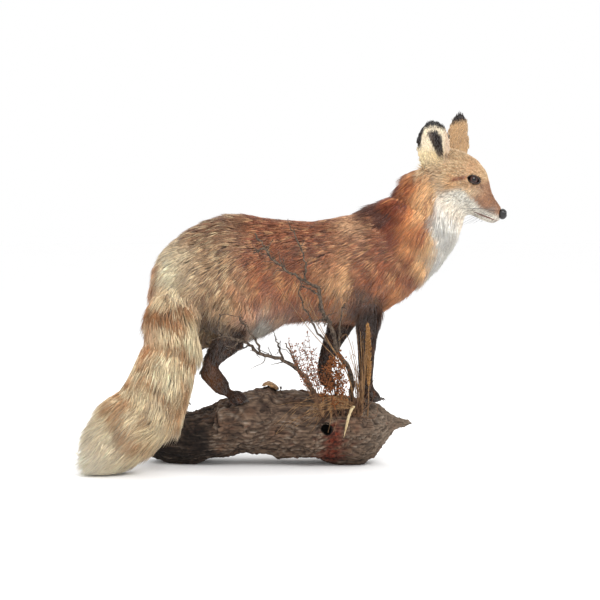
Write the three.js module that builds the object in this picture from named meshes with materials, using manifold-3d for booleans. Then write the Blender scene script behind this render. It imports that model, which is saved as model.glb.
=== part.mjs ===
// A life-size museum mount of a red fox that stands on a driftwood log, with dry branches and grasses.
// Units are millimetres. +X is the way the fox faces, +Y its left, +Z up, and the floor is Z = 0.
// The solids run out to the tips of the coat. The animal is parted in named pieces by thin cuts.
import * as THREE from "three";
import { mergeVertices } from "three/addons/utils/BufferGeometryUtils.js";
import Module from "manifold-3d";

const wasm = await Module();
wasm.setup();

// Driving dimensions.
const GAP = 0.3; // clear space between pieces that touch
const LEG_SPREAD = 46; // each leg's middle, out from the fox's middle plane
const HEAD_TURN = 0.235; // the head's turn to the fox's right, in radians
const EYE_RADIUS = 10;
const EYE_SPREAD = 26; // each eye's middle, out from the head's middle plane
const EAR_HEIGHT = 100;
const EAR_WIDTH = 74;
const EAR_WALL = 9; // the ear's thickness, fur on both faces included
const FAR = 1000; // half the side of a cutting block, larger than the whole part

const COAT = { rust: 0xa4623c, back: 0x8c5a3e, cream: 0xd2b991, dark: 0x33261f };
const WOOD = { bark: 0x5d5045, twig: 0x7d6c5a, straw: 0xb99b66, rusty: 0x9a5428, chip: 0x9c7c56 };
const GLOSS = { eye: 0x24140d, nose: 0x17130f };

// Turns a three.js geometry into a solid, with its faces pointing out.
function solid(geometry) {
  const bare = geometry.index ? geometry.toNonIndexed() : geometry.clone();
  for (const name of Object.keys(bare.attributes)) {
    if (name !== "position") bare.deleteAttribute(name);
  }
  const merged = mergeVertices(bare, 1e-3);
  const triVerts = new Uint32Array(merged.index.array);
  const vertProperties = merged.attributes.position.array;
  const body = new wasm.Manifold(new wasm.Mesh({ numProp: 3, vertProperties, triVerts }));
  if (body.volume() > 0) return body;
  for (let i = 0; i < triVerts.length; i += 3) {
    [triVerts[i + 1], triVerts[i + 2]] = [triVerts[i + 2], triVerts[i + 1]];
  }
  return new wasm.Manifold(new wasm.Mesh({ numProp: 3, vertProperties, triVerts }));
}

// Joins a list of solids.
function join(solids) {
  return solids.reduce((whole, next) => whole.add(next));
}

// Keeps the largest piece of a solid, without the slivers that a cut can leave.
function largest(body) {
  return body.decompose().reduce((best, next) => (next.volume() > best.volume() ? next : best));
}

// How much of its full radius a rounded end has, s stations in from the end.
function blunt(s, length) {
  if (length <= 0 || s >= length) return 1;
  return Math.sqrt(1 - (1 - s / length) ** 2);
}

// A closed body along a bent spine. Each station is [x, y, z, reach, width]: the spine's point, half
// the depth in the spine's plane and half the width across it. round gives the stations that each end
// takes to round off, upright keeps the rings vertical, pinch narrows their upper half, and relief
// adds a height in mm to each ring's radius.
function limb(stations, options = {}) {
  const { around = 14, steps = 2, round = [1, 1], upright = false, level = false } = options;
  const { pinch = 0, relief = () => 0, grow = 0 } = options;
  const curve = (pick) => new THREE.CatmullRomCurve3(stations.map(pick), false, "catmullrom", 0.5);
  const spine = curve(([x, y, z]) => new THREE.Vector3(x, y, z));
  const size = curve(([, , , reach, width]) => new THREE.Vector3(reach + grow, width + grow, 0));
  const spans = stations.length - 1;
  const rings = spans * steps;
  const sphere = new THREE.SphereGeometry(1, around, rings);
  const places = sphere.attributes.position;
  for (let i = 0; i < places.count; i += 1) {
    const point = new THREE.Vector3().fromBufferAttribute(places, i);
    const ring = Math.round((Math.acos(THREE.MathUtils.clamp(point.y, -1, 1)) / Math.PI) * rings);
    const t = ring / rings;
    const flat = Math.hypot(point.x, point.z);
    const pole = ring === 0 || ring === rings;
    const across = pole ? 0 : point.x / flat;
    const above = pole ? 0 : point.z / flat;
    const ahead = upright ? new THREE.Vector3(1, 0, 0) : spine.getTangent(t);
    const side = level
      ? new THREE.Vector3(-ahead.y, ahead.x, 0).normalize()
      : new THREE.Vector3(0, 1, 0).addScaledVector(ahead, -ahead.y).normalize();
    const up = new THREE.Vector3().crossVectors(ahead, side);
    const end = pole ? 0 : blunt(t * spans, round[0]) * blunt((1 - t) * spans, round[1]);
    const { x: reach, y: width } = size.getPoint(t);
    const extra = relief(t, Math.atan2(above, across));
    const out = across * (width + extra) * end * (1 - pinch * Math.max(0, above));
    const high = above * (reach + extra) * end;
    const where = spine.getPoint(t).addScaledVector(side, out).addScaledVector(up, high);
    where.addScaledVector(ahead, Math.sign(t - 0.5) * grow * (1 - end));
    places.setXYZ(i, where.x, where.y, where.z);
  }
  return solid(sphere);
}

// A thin round stem through a few points, from one radius to another.
function stem(points, thick, thin, around = 5) {
  const last = points.length - 1;
  const radius = (i) => thick + ((thin - thick) * i) / last;
  const stations = points.map(([x, y, z], i) => [x, y, z, radius(i), radius(i)]);
  return limb(stations, { around, steps: 1, round: [0, 0.9] });
}

// The half space beyond a plane, as a large block that starts half a gap past it.
function beyond(point, direction) {
  const normal = new THREE.Vector3(...direction).normalize();
  const turn = new THREE.Quaternion().setFromUnitVectors(new THREE.Vector3(0, 0, 1), normal);
  const middle = new THREE.Vector3(...point).addScaledVector(normal, FAR + GAP / 2);
  const block = new THREE.BoxGeometry(2 * FAR, 2 * FAR, 2 * FAR).applyQuaternion(turn);
  return solid(block.translate(middle.x, middle.y, middle.z));
}

// Parts a solid at a plane, and gives the piece beyond it and the piece behind it.
function part(body, point, direction) {
  const back = direction.map((value) => -value);
  return [body.intersect(beyond(point, direction)), body.intersect(beyond(point, back))];
}

// A ball that can be drawn out along each axis.
function ball([x, y, z], [rx, ry, rz], around, rows) {
  const shape = new THREE.SphereGeometry(1, around, rows).rotateX(Math.PI / 2).scale(rx, ry, rz);
  return solid(shape.translate(x, y, z));
}

// A point given along the head's own middle plane and across it.
function onHead(x, z, across) {
  const neckX = 262;
  const ahead = new THREE.Vector3(Math.cos(HEAD_TURN), -Math.sin(HEAD_TURN), 0);
  const side = new THREE.Vector3(Math.sin(HEAD_TURN), Math.cos(HEAD_TURN), 0);
  const run = (x - neckX) / Math.cos(HEAD_TURN);
  const place = ahead.multiplyScalar(run).addScaledVector(side, across);
  return [neckX + place.x, place.y, z];
}

// Trunk: a row for each place along the back, as X, top of the back, underside and half width.
const trunkRows = [
  [-292, 372, 318, 22],
  [-276, 404, 285, 44],
  [-258, 432, 262, 56],
  [-232, 456, 246, 67],
  [-200, 478, 238, 75],
  [-160, 495, 234, 80],
  [-122, 503, 236, 80],
  [-84, 501, 246, 77],
  [-45, 494, 262, 74],
  [0, 490, 282, 73],
  [45, 489, 288, 75],
  [88, 497, 284, 79],
  [128, 506, 286, 83],
  [165, 524, 300, 83],
  [205, 528, 318, 77],
  [240, 505, 342, 66],
  [270, 470, 368, 50],
  [290, 436, 396, 32],
];
const trunkWhole = limb(
  trunkRows.map(([x, top, low, half]) => [x, 0, (top + low) / 2, (top - low) / 2, half]),
  { around: 22, steps: 1, round: [1.2, 1.2], upright: true },
);

// Neck with its ruff, from inside the chest up to the back of the skull.
const neckWhole = limb(
  [
    [170, 0, 400, 70, 60],
    [205, 0, 438, 97, 76],
    [242, -1, 468, 87, 76],
    [261, -2, 487, 79, 73],
    [273, -3, 504, 76, 70],
    [278, -4, 530, 71, 66],
    [286, -6, 551, 67, 63],
    [294, -7, 571, 62, 58],
    [302, -8, 590, 50, 46],
  ],
  { around: 20, steps: 2, round: [1, 1.4] },
);

// Head, from the back of the skull to the end of the muzzle, as X, Z, reach and half width.
const headRows = [
  [256, 590, 36, 40],
  [274, 584, 50, 55],
  [294, 576, 60, 66],
  [314, 566, 63, 68],
  [335, 556, 60, 55],
  [349, 545, 52, 41],
  [362, 531, 39, 31],
  [374, 518, 30, 25],
  [386, 508, 25.5, 20],
  [397, 500, 21.5, 17],
  [406, 495, 16.5, 14],
  [412, 491, 10, 10],
];
const headStations = headRows.map(([x, z, reach, half]) => [...onHead(x, z, 0), reach, half]);
const headShape = { around: 20, steps: 1, round: [1.3, 1], pinch: 0.3, level: true };
const headWhole = (grow) => limb(headStations, { ...headShape, grow });

// Nose pad and eyes.
const nosePad = (grow) => ball(onHead(413, 499.5, 0), [10 + grow, 10.5 + grow, 10.5 + grow], 10, 6);
function eye(side, grow) {
  const radius = EYE_RADIUS + grow;
  return ball(onHead(359, 566.5, side * EYE_SPREAD), [radius, radius, radius], 10, 6);
}

// An ear: a leaf-shaped shell whose edges curl towards the way it opens. A higher blunt value
// makes its tip rounder.
function ear({ base, tip, opening, curl, blunt, foot, tall }) {
  const up = new THREE.Vector3().subVectors(new THREE.Vector3(...tip), new THREE.Vector3(...base));
  up.normalize();
  const open = new THREE.Vector3(...opening);
  open.addScaledVector(up, -open.dot(up)).normalize();
  const across = new THREE.Vector3().crossVectors(up, open);
  const sphere = new THREE.SphereGeometry(1, 14, 9);
  const places = sphere.attributes.position;
  for (let i = 0; i < places.count; i += 1) {
    const point = new THREE.Vector3().fromBufferAttribute(places, i);
    const v = (1 - point.y) / 2;
    const flat = Math.max(Math.hypot(point.x, point.z), 1e-6);
    const outline = Math.min(1.15 * Math.sqrt(v + foot), 1) * Math.sqrt(1.0001 - v ** blunt);
    const pole = v < 1e-6 || v > 1 - 1e-6;
    const x = pole ? 0 : (point.x / flat) * outline * (EAR_WIDTH / 2);
    const wall = pole ? 0 : (point.z / flat) * (EAR_WALL / 2) * (1 - 0.45 * v) * Math.min(1, 3 * outline);
    const cup = curl * (1 - 0.45 * v) * ((2 * x) / EAR_WIDTH) ** 2;
    const where = new THREE.Vector3(...base);
    where.addScaledVector(up, v * tall).addScaledVector(across, x);
    where.addScaledVector(open, wall + cup);
    places.setXYZ(i, where.x, where.y, where.z);
  }
  return solid(sphere);
}
const earRightWhole = ear({
  base: onHead(283, 583, -34),
  tip: onHead(289, 681, -58),
  opening: [-0.1, -1, 0.15],
  curl: 22,
  blunt: 5,
  foot: 0.25,
  tall: EAR_HEIGHT,
});
const earLeftWhole = ear({
  base: onHead(301, 592, 30),
  tip: onHead(327, 706, 42),
  opening: [0.74, 0.67, 0],
  curl: 18,
  blunt: 2.9,
  foot: 0.5,
  tall: EAR_HEIGHT + 14,
});

// Tail: a full brush that hangs from the rump, swings to the fox's right and lies on the floor.
const tailRows = [
  [-214, -6, 396, 34, 32],
  [-234, -26, 345, 46, 43],
  [-237, -56, 300, 54, 52],
  [-234, -80, 252, 59, 58],
  [-244, -96, 213, 62, 60],
  [-254, -110, 178, 66, 60],
  [-268, -120, 136, 73, 60],
  [-304, -128, 101, 74, 58],
  [-342, -132, 60, 63, 56],
  [-369, -134, 32, 43, 45],
  [-396, -136, 26, 20, 22],
];
const tailWhole = (grow) => limb(tailRows, { around: 16, steps: 1, round: [1, 1.2], grow });

// A hind leg: the thigh, the shank, and the foot from the hock to the toes.
function hindLeg({ hip, stifle, hock, ankle, toe, side }) {
  const y = side * LEG_SPREAD;
  const between = (a, b, t) => [a[0] + (b[0] - a[0]) * t, y, a[1] + (b[1] - a[1]) * t];
  const thigh = [
    [hip[0], y * 0.85, hip[1], 60, 34],
    [...between(hip, stifle, 0.45), 68, 40],
    [...between(hip, stifle, 0.85), 54, 37],
    [...between(hip, stifle, 1.2), 30, 26],
  ];
  const shank = [
    [...between(stifle, hock, 0), 44, 33],
    [...between(stifle, hock, 0.45), 29, 24],
    [...between(stifle, hock, 0.8), 19, 17],
    [...between(stifle, hock, 1.06), 15, 14],
  ];
  const metatarsus = [
    [...between(hock, ankle, -0.12), 16, 14],
    [...between(hock, ankle, 0.1), 21, 17],
    [...between(hock, ankle, 0.5), 20, 17],
    [...between(hock, ankle, 1.05), 18, 18],
  ];
  const paw = [
    [...between(ankle, toe, -0.15), 16, 17],
    [...between(ankle, toe, 0.45), 17, 21],
    [...between(ankle, toe, 0.85), 12, 20],
    [...between(ankle, toe, 1.1), 6, 13],
  ];
  const shape = (grow, around = 10) => ({ around, steps: 2, round: [0.8, 0.8], grow });
  return {
    leg: (grow) => limb(thigh, shape(grow, 14)).add(limb(shank, shape(grow))),
    foot: (grow) => limb(metatarsus, shape(grow)).add(limb(paw, shape(grow))),
  };
}
const hindRight = hindLeg({
  hip: [-168, 392],
  stifle: [-104, 280],
  hock: [-172, 197],
  ankle: [-127, 141],
  toe: [-92, 130],
  side: -1,
});
const hindLeft = hindLeg({
  hip: [-180, 392],
  stifle: [-150, 290],
  hock: [-236, 206],
  ankle: [-240, 134],
  toe: [-219, 111],
  side: 1,
});

// A foreleg from inside the shoulder to the toes, as X, Z, reach and half width.
function foreLeg(rows, side) {
  const stations = rows.map(([x, z, reach, half]) => [x, side * LEG_SPREAD, z, reach, half]);
  return (grow) => limb(stations, { around: 12, steps: 1, round: [1, 1.2], grow });
}
const foreRight = foreLeg(
  [
    [158, 372, 40, 28],
    [152, 322, 29, 26],
    [147, 268, 23, 22],
    [145, 228, 18.5, 18],
    [144, 192, 16, 16],
    [143, 164, 16, 16],
    [149, 146, 15, 19],
    [164, 137, 12.5, 20],
    [178, 131, 7, 14],
  ],
  -1,
);
const foreLeft = foreLeg(
  [
    [150, 366, 40, 28],
    [120, 322, 31, 26],
    [93, 266, 25, 22],
    [78, 236, 20, 18.5],
    [67, 204, 17, 17],
    [63, 178, 16, 16],
    [67, 162, 15, 19],
    [79, 153, 12.5, 20],
    [92, 148, 7, 14],
  ],
  1,
);

// Driftwood log, as X, top, underside, middle Y and half width, with long weathered ridges.
const logRows = [
  [-312, 70, 26, 32, 26],
  [-290, 92, 6, 26, 50],
  [-250, 101, -4, 18, 66],
  [-205, 103, -4, 14, 74],
  [-168, 112, 7, 12, 79],
  [-146, 131, 10, 10, 83],
  [-95, 148, 15, 8, 87],
  [-50, 155, 14, 8, 89],
  [-29, 144, 9, 8, 89],
  [8, 147, 9, 6, 89],
  [45, 144, 5, 4, 88],
  [90, 140, -4, 0, 84],
  [132, 134, -4, -2, 77],
  [166, 123, 14, -4, 62],
  [190, 107, 48, -5, 40],
  [208, 98, 65, -5, 23],
  [228, 91, 72, -5, 12],
  [243, 87, 76, -5, 6],
];
const RIDGES = 9;
const RIDGE_HEIGHT = 3.2;
function weathered(t, angle) {
  const along = t * logRows.length;
  const ridge = Math.sin(RIDGES * angle + 1.6 * Math.sin(along * 0.9));
  const lump = Math.sin(2 * angle + along * 1.3) + 0.6 * Math.sin(3 * angle - along * 2.1);
  return RIDGE_HEIGHT * (ridge + lump) * Math.sin(Math.PI * Math.min(1, t * 1.02)) ** 0.4 * 0.8;
}
const aboveFloor = beyond([0, 0, -GAP / 2], [0, 0, 1]);
const logBody = limb(
  logRows.map(([x, top, low, y, half]) => [x, y, (top + low) / 2, (top - low) / 2, half]),
  { around: 26, steps: 1, round: [1.2, 0.3], upright: true, relief: weathered },
);
const knotHole = limb(
  [
    [64, -110, 76, 9, 7],
    [66, -78, 78, 9, 7],
    [68, -58, 80, 4, 3],
  ],
  { around: 10, steps: 2, round: [0, 0.6] },
);
const log = largest(logBody.intersect(aboveFloor).subtract(knotHole));
const overLog = log.translate([0, 0, GAP]);

// Broken bark chip that stands from the top of the log, and the short stubs of its old twigs.
const barkChip = limb(
  [
    [-63, 18, 150, 5, 16],
    [-52, 14, 158, 6, 24],
    [-38, 12, 153, 6, 24],
    [-27, 10, 142, 5, 15],
  ],
  { around: 10, steps: 2, round: [0.7, 0.7] },
);
const stubs = [
  stem([[-24, 4, 138], [-25, 2, 150], [-24, 0, 163]], 4.5, 3),
  stem([[176, -28, 112], [181, -30, 128], [184, -31, 139]], 5, 3.5),
  stem([[157, -86, 108], [159, -92, 128], [160, -94, 150]], 3.4, 2.6),
];

// A dry branch: a bent stem with its twigs, cut where it grows out of the log.
function branch(line, thick, thin, twigLines) {
  const grown = twigLines.map((twig) => stem(twig, 2, 1.1, 4));
  return largest(join([stem(line, thick, thin), ...grown]).subtract(overLog));
}

// Left branch: leans back from the top of the log to the thigh of the right hind leg.
const branchLeft = branch(
  [
    [44, -4, 128],
    [33, -20, 160],
    [13, -30, 187],
    [-21, -42, 212],
    [-63, -56, 225],
    [-90, -72, 247],
    [-118, -90, 258],
    [-141, -96, 266],
    [-147, -98, 278],
    [-142, -102, 306],
  ],
  4.6,
  1.6,
  [
    [[-108, -83, 254], [-113, -95, 245], [-125, -99, 238]],
    [[-63, -56, 225], [-69, -80, 248], [-90, -98, 277], [-103, -104, 296], [-101, -108, 306]],
    [[-21, -42, 212], [-29, -56, 238], [-37, -70, 263]],
    [[13, -30, 187], [-2, -48, 222], [-16, -62, 246]],
  ],
);

// Main branch: rises beside the right foreleg and crosses in front of the belly.
const branchMain = branch(
  [
    [118, -40, 112],
    [112, -70, 185],
    [89, -80, 228],
    [72, -90, 281],
    [55, -98, 314],
    [48, -104, 354],
    [21, -105, 371],
    [-16, -105, 393],
    [-42, -105, 415],
    [-56, -105, 436],
    [-74, -105, 462],
  ],
  5.2,
  1.7,
  [
    [[21, -105, 371], [24, -108, 398], [13, -107, 437], [-6, -106, 476]],
    [[89, -80, 228], [52, -92, 264], [30, -98, 303], [12, -106, 344], [19, -113, 368]],
    [[88, -81, 232], [92, -98, 303], [100, -106, 328]],
    [[64, -94, 298], [50, -102, 294], [32, -108, 291]],
    [[50, -101, 340], [34, -111, 352], [18, -117, 361]],
    [[-55, -105, 434], [-66, -106, 429], [-78, -106, 424]],
  ],
);

// A tuft of thin stems that grow from one root crown on the log, with a seed on some of them.
function tuft(root, lines, seeds) {
  const stems = lines.map((line) => stem([root, ...line], 1.6, 1, 4));
  const heads = seeds.map(([place, size]) => {
    return solid(new THREE.IcosahedronGeometry(size, 0).translate(...place));
  });
  const crown = ball(root, [8, 8, 8], 7, 5);
  return largest(join([crown, ...stems, ...heads]).subtract(overLog));
}

// Dry grass in front of the right forepaw.
const GRASS_BLADES = 9;
const grassLines = [];
for (let i = 0; i < GRASS_BLADES; i += 1) {
  const fan = i / (GRASS_BLADES - 1) - 0.5;
  const tall = 84 + 62 * Math.sin(1.1 + i * 2.3) ** 2;
  const depth = 5 * (i % 3);
  const knee = [129 + 12 * fan, -84 - depth, 112 + tall * 0.5];
  grassLines.push([knee, [120 + 34 * fan, -92 - depth, 112 + tall]]);
}
const grass = tuft([132, -64, 110], grassLines, []);

// Seed sprays that lean back from the middle of the log.
const SPRAYS = 5;
const sprayLines = [];
const spraySeeds = [];
for (let i = 0; i < SPRAYS; i += 1) {
  const tall = 70 + 18 * ((i * 2) % 5);
  const knee = [52 - 7 * i, -92, 150];
  const tip = [38 - 13 * i, -98 - 2 * i, 150 + tall];
  sprayLines.push([knee, tip]);
  spraySeeds.push([tip, 4]);
}
const sprays = tuft([60, -76, 104], sprayLines, spraySeeds);

// A bushy head of rusty flowers beside the sprays.
const FLOWERS = 7;
const flowerLines = [];
const flowerHeads = [];
for (let i = 0; i < FLOWERS; i += 1) {
  const height = i / (FLOWERS - 1);
  const swing = 20 * Math.sin(i * 2.4) * (1 - 0.5 * height);
  const place = [80 + swing, -92 - 5 * Math.cos(i * 2.4), 152 + 64 * height];
  flowerLines.push([[80 + 0.3 * swing, -88, 132 + 30 * height], place]);
  flowerHeads.push([place, 8]);
}
const flowers = tuft([84, -70, 108], flowerLines, flowerHeads);

// A split dry reed that hangs down the near side, and a tall seed spike beside the foreleg.
const reed = limb(
  [
    [118, -46, 112, 3, 5],
    [117, -90, 124, 3, 5],
    [109, -101, 108, 3, 6],
    [98, -106, 62, 2, 3],
  ],
  { around: 8, steps: 2, round: [0, 0.6] },
);
const seedSpike = limb(
  [
    [146, -50, 96, 1.8, 1.8],
    [147, -80, 150, 1.8, 1.8],
    [147, -86, 166, 5, 5],
    [147, -88, 205, 7, 7],
    [146, -89, 245, 6, 6],
    [144, -90, 292, 2, 2],
  ],
  { around: 8, steps: 2, round: [0, 0.6] },
);

// Cuts that leave each piece room for its neighbours: the driftwood and the tail come whole.
const clearOf = (body, rooms) => rooms.reduce((left, room) => left.subtract(room), body);
const UP = [0, 0, 1];
const tail = largest(tailWhole(0).intersect(aboveFloor));
const tailRoom = tailWhole(GAP);
const [tailUpper, tailLower] = part(tail, [-241, -70, 276], [-0.05, 0.42, 0.9]);
const [tailMiddle, tailTip] = part(tailLower, [-284, -116, 132], [0.45, 0.15, 0.88]);

const hindFoot = (limbOf) => largest(clearOf(limbOf.foot(0), [overLog, tailRoom]));
const hindShank = (limbOf) => largest(clearOf(limbOf.leg(0), [limbOf.foot(GAP), tailRoom]));
const foreRightOnLog = largest(clearOf(foreRight(0), [overLog]));
const foreLeftOnLog = largest(clearOf(foreLeft(0), [overLog]));
const [foreLegRight, forePawRight] = part(foreRightOnLog, [0, 0, 166], UP);
const [foreLegLeft, forePawLeft] = part(foreLeftOnLog, [0, 0, 180], UP);

// The head, neck and trunk are one body, parted behind the jaw and in front of the shoulder.
const eyeRooms = [-1, 1].map((side) => eye(side, GAP));
const limbRooms = [
  hindRight.leg(GAP),
  hindLeft.leg(GAP),
  hindRight.foot(GAP),
  hindLeft.foot(GAP),
  foreRight(GAP),
  foreLeft(GAP),
  tailRoom,
];
const front = join([trunkWhole, neckWhole, headWhole(0)]);
const cleared = clearOf(front, [...limbRooms, ...eyeRooms, nosePad(GAP)]);
const [headAndNeck, trunkPiece] = part(cleared, [215, 0, 447], [0.75, 0, 0.66]);
const [headPiece, neckPiece] = part(headAndNeck, [291, 0, 556], [0.78, -0.1, 0.62]);
const earRoom = headWhole(GAP).add(neckWhole.translate([0, 0, GAP]));
const earRight = largest(earRightWhole.subtract(earRoom));
const earLeft = largest(earLeftWhole.subtract(earRoom));

const rooted = (body) => largest(body.subtract(overLog));

// Every piece with its colour, roughness and metalness.
const fox = new THREE.Group();
function show(name, body, color, roughness = 0.9) {
  const { vertProperties, triVerts } = body.getMesh();
  const geometry = new THREE.BufferGeometry();
  geometry.setAttribute("position", new THREE.BufferAttribute(new Float32Array(vertProperties), 3));
  geometry.setIndex(new THREE.BufferAttribute(new Uint32Array(triVerts), 1));
  geometry.computeVertexNormals();
  const material = new THREE.MeshStandardMaterial({ color, roughness, metalness: 0 });
  const mesh = new THREE.Mesh(geometry, material);
  mesh.name = name;
  fox.add(mesh);
}
show("head", largest(headPiece), COAT.rust);
show("neck", largest(neckPiece), COAT.rust);
show("trunk", largest(trunkPiece), COAT.back);
show("tail_base", largest(tailUpper), COAT.cream);
show("tail_middle", largest(tailMiddle), COAT.cream);
show("tail_tip", largest(tailTip), COAT.cream);
show("ear_right", earRight, COAT.dark);
show("ear_left", earLeft, COAT.dark);
show("eye_right", eye(-1, 0), GLOSS.eye, 0.1);
show("eye_left", eye(1, 0), GLOSS.eye, 0.1);
show("nose", nosePad(0), GLOSS.nose, 0.4);
show("foreleg_right", largest(foreLegRight), COAT.dark);
show("foreleg_left", largest(foreLegLeft), COAT.dark);
show("forepaw_right", largest(forePawRight), COAT.dark);
show("forepaw_left", largest(forePawLeft), COAT.dark);
show("hindleg_right", hindShank(hindRight), COAT.dark);
show("hindleg_left", hindShank(hindLeft), COAT.dark);
show("hindfoot_right", hindFoot(hindRight), COAT.dark);
show("hindfoot_left", hindFoot(hindLeft), COAT.dark);
show("driftwood_log", largest(join([log, ...stubs])), WOOD.bark);
show("bark_chip", rooted(barkChip), WOOD.chip);
show("branch_left", branchLeft, WOOD.twig);
show("branch_main", branchMain, WOOD.twig);
show("dry_grass", grass, WOOD.straw);
show("seed_sprays", sprays, WOOD.rusty);
show("rusty_flowers", flowers, WOOD.rusty);
show("split_reed", rooted(reed), WOOD.straw);
show("seed_spike", rooted(seedSpike), WOOD.straw);

// The part's origin is the middle of its box on the floor.
const box = new THREE.Box3().setFromObject(fox, true);
const middle = box.getCenter(new THREE.Vector3());
fox.children.forEach((mesh) => mesh.geometry.translate(-middle.x, -middle.y, -box.min.z));

export default fox;
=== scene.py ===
# A mounted red fox that stands on a driftwood log, with dry branches, grasses and seed heads.
# The file follows the mount as it is put together: the studio, the skin, the coat, the glass eyes and
# nose, then the wood and the dry plants. Lengths are millimetres until mm() turns them to metres.
import math

import bmesh
import bpy
import numpy as np
from mathutils import Matrix, Vector
from mathutils.kdtree import KDTree


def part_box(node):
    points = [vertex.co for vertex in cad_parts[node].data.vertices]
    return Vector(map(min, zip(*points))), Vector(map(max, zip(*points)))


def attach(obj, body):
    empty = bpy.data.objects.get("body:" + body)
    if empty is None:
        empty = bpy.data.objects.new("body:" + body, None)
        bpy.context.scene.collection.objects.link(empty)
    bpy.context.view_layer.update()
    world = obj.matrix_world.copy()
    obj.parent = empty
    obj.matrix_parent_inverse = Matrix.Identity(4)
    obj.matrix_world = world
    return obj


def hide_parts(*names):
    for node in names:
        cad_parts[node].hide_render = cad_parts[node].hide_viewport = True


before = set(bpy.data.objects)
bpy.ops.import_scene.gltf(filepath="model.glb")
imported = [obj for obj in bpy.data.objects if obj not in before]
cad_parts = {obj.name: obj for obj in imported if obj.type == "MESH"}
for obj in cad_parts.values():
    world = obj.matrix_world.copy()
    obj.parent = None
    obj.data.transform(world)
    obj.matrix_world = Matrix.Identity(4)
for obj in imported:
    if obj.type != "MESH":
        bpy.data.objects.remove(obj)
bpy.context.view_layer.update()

# ---------------------------------------------------------------------------------------------
# Fox axes. X runs the way the fox faces and Y to its left, from a zero that lies in its middle
# plane, 293 mm in front of the rump. Every place below is given from there, in millimetres.
trunk_low, trunk_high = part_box("trunk")
zero = Vector((trunk_low.x + 0.293, (trunk_low.y + trunk_high.y) / 2, 0))


def mm(x, y, z):
    """A place in fox axes, in the frame's metres."""
    return Vector((zero.x + x / 1000, zero.y + y / 1000, z / 1000))


def fox_mm(points):
    """Points of the frame as an array in fox axes, in millimetres."""
    return (np.asarray(points) - np.array(zero)) * 1000


# ---------------------------------------------------------------------------------------------
# Studio. A wide white floor under a white surround, soft light from large panels, and a long
# lens level with the animal's flank, as a mount is shown in a museum's catalogue.
CAMERA_AWAY = 3000
CAMERA_RISE = 3  # degrees above the level of the point it looks at
FRAME_WIDTH = 1200  # how wide a view the lens takes in at the mount
SENSOR = 36.0


def linear(code):
    """An sRGB hex colour as linear red, green, blue and a full alpha."""
    parts = [int(code[i : i + 2], 16) / 255 for i in (0, 2, 4)]
    curve = [c / 12.92 if c <= 0.04045 else ((c + 0.055) / 1.055) ** 2.4 for c in parts]
    return (*curve, 1.0)


def add_node(tree, kind, links=(), **settings):
    """Adds a node, sets its properties or its inputs by name, and links (input, output socket)."""
    node = tree.nodes.new(kind)
    for name, value in settings.items():
        if hasattr(node, name):
            setattr(node, name, value)
        else:
            node.inputs[name.replace("_", " ")].default_value = value
    for name, output in links:
        tree.links.new(output, node.inputs[name])
    return node


def set_inputs(node, **settings):
    """Sets a node's inputs, whose names have _ for each space."""
    for name, value in settings.items():
        node.inputs[name.replace("_", " ")].default_value = value


def new_material(name):
    """An empty node material, with its tree, its shader and its output joined."""
    material = bpy.data.materials.new(name)
    material.use_nodes = True
    tree = material.node_tree
    return material, tree, tree.nodes["Principled BSDF"]


target = mm(13, 0, 328)
rise = math.radians(CAMERA_RISE)
away = CAMERA_AWAY / 1000
lens = bpy.data.cameras.new("catalogue_lens")
lens.sensor_width = SENSOR
lens.lens = SENSOR * CAMERA_AWAY / FRAME_WIDTH
camera = bpy.data.objects.new("catalogue_camera", lens)
camera.location = target + Vector((0, -away * math.cos(rise), away * math.sin(rise)))
camera.rotation_euler = (math.radians(90 - CAMERA_RISE), 0, 0)
bpy.context.collection.objects.link(camera)
bpy.context.scene.camera = camera

# The floor is matt white paper: a large flat square with nothing to see but soft shadow.
floor_mesh = bpy.data.meshes.new("paper_floor")
sheet = bmesh.new()
bmesh.ops.create_grid(sheet, x_segments=2, y_segments=2, size=30.0)
sheet.to_mesh(floor_mesh)
sheet.free()
floor = bpy.data.objects.new("paper_floor", floor_mesh)
bpy.context.collection.objects.link(floor)
paper, _, paper_shader = new_material("matt_white_paper")
set_inputs(paper_shader, Base_Color=linear("ffffff"), Roughness=0.9)
floor_mesh.materials.append(paper)

world = bpy.data.worlds.new("white_studio")
world.use_nodes = True
world.node_tree.nodes["Background"].inputs["Color"].default_value = linear("ffffff")
world.node_tree.nodes["Background"].inputs["Strength"].default_value = 1.0
bpy.context.scene.world = world
bpy.context.scene.view_settings.view_transform = "Standard"


def soft_panel(name, place, size, watts):
    """A large square light panel that faces the middle of the mount."""
    light = bpy.data.lights.new(name, "AREA")
    light.size = size
    light.energy = watts
    panel = bpy.data.objects.new(name, light)
    panel.location = place
    panel.rotation_euler = (target - place).to_track_quat("-Z", "Y").to_euler()
    bpy.context.collection.objects.link(panel)


soft_panel("key_panel", mm(900, -1700, 1900), 1.0, 30)
soft_panel("fill_panel", mm(-1500, -1500, 1000), 1.8, 8)
soft_panel("back_panel", mm(-300, 1500, 1700), 1.4, 16)

# ---------------------------------------------------------------------------------------------
# Skin. The tanned skin is drawn over the manikin in one piece, from the nose to the tail's tip.
# It starts as the outline of the coat, with its cuts closed, and is let in by the coat's depth.
FLESH = ["head", "neck", "trunk", "tail_base", "tail_middle", "tail_tip", "ear_right", "ear_left"]
FLESH += ["foreleg_right", "foreleg_left", "forepaw_right", "forepaw_left"]
FLESH += ["hindleg_right", "hindleg_left", "hindfoot_right", "hindfoot_left"]
SKIN_GRAIN = 3.6  # the size of the skin's faces
CUT = 0.6  # how far each piece is let out, so that the thin cuts close
rng = np.random.default_rng(7)


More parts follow.
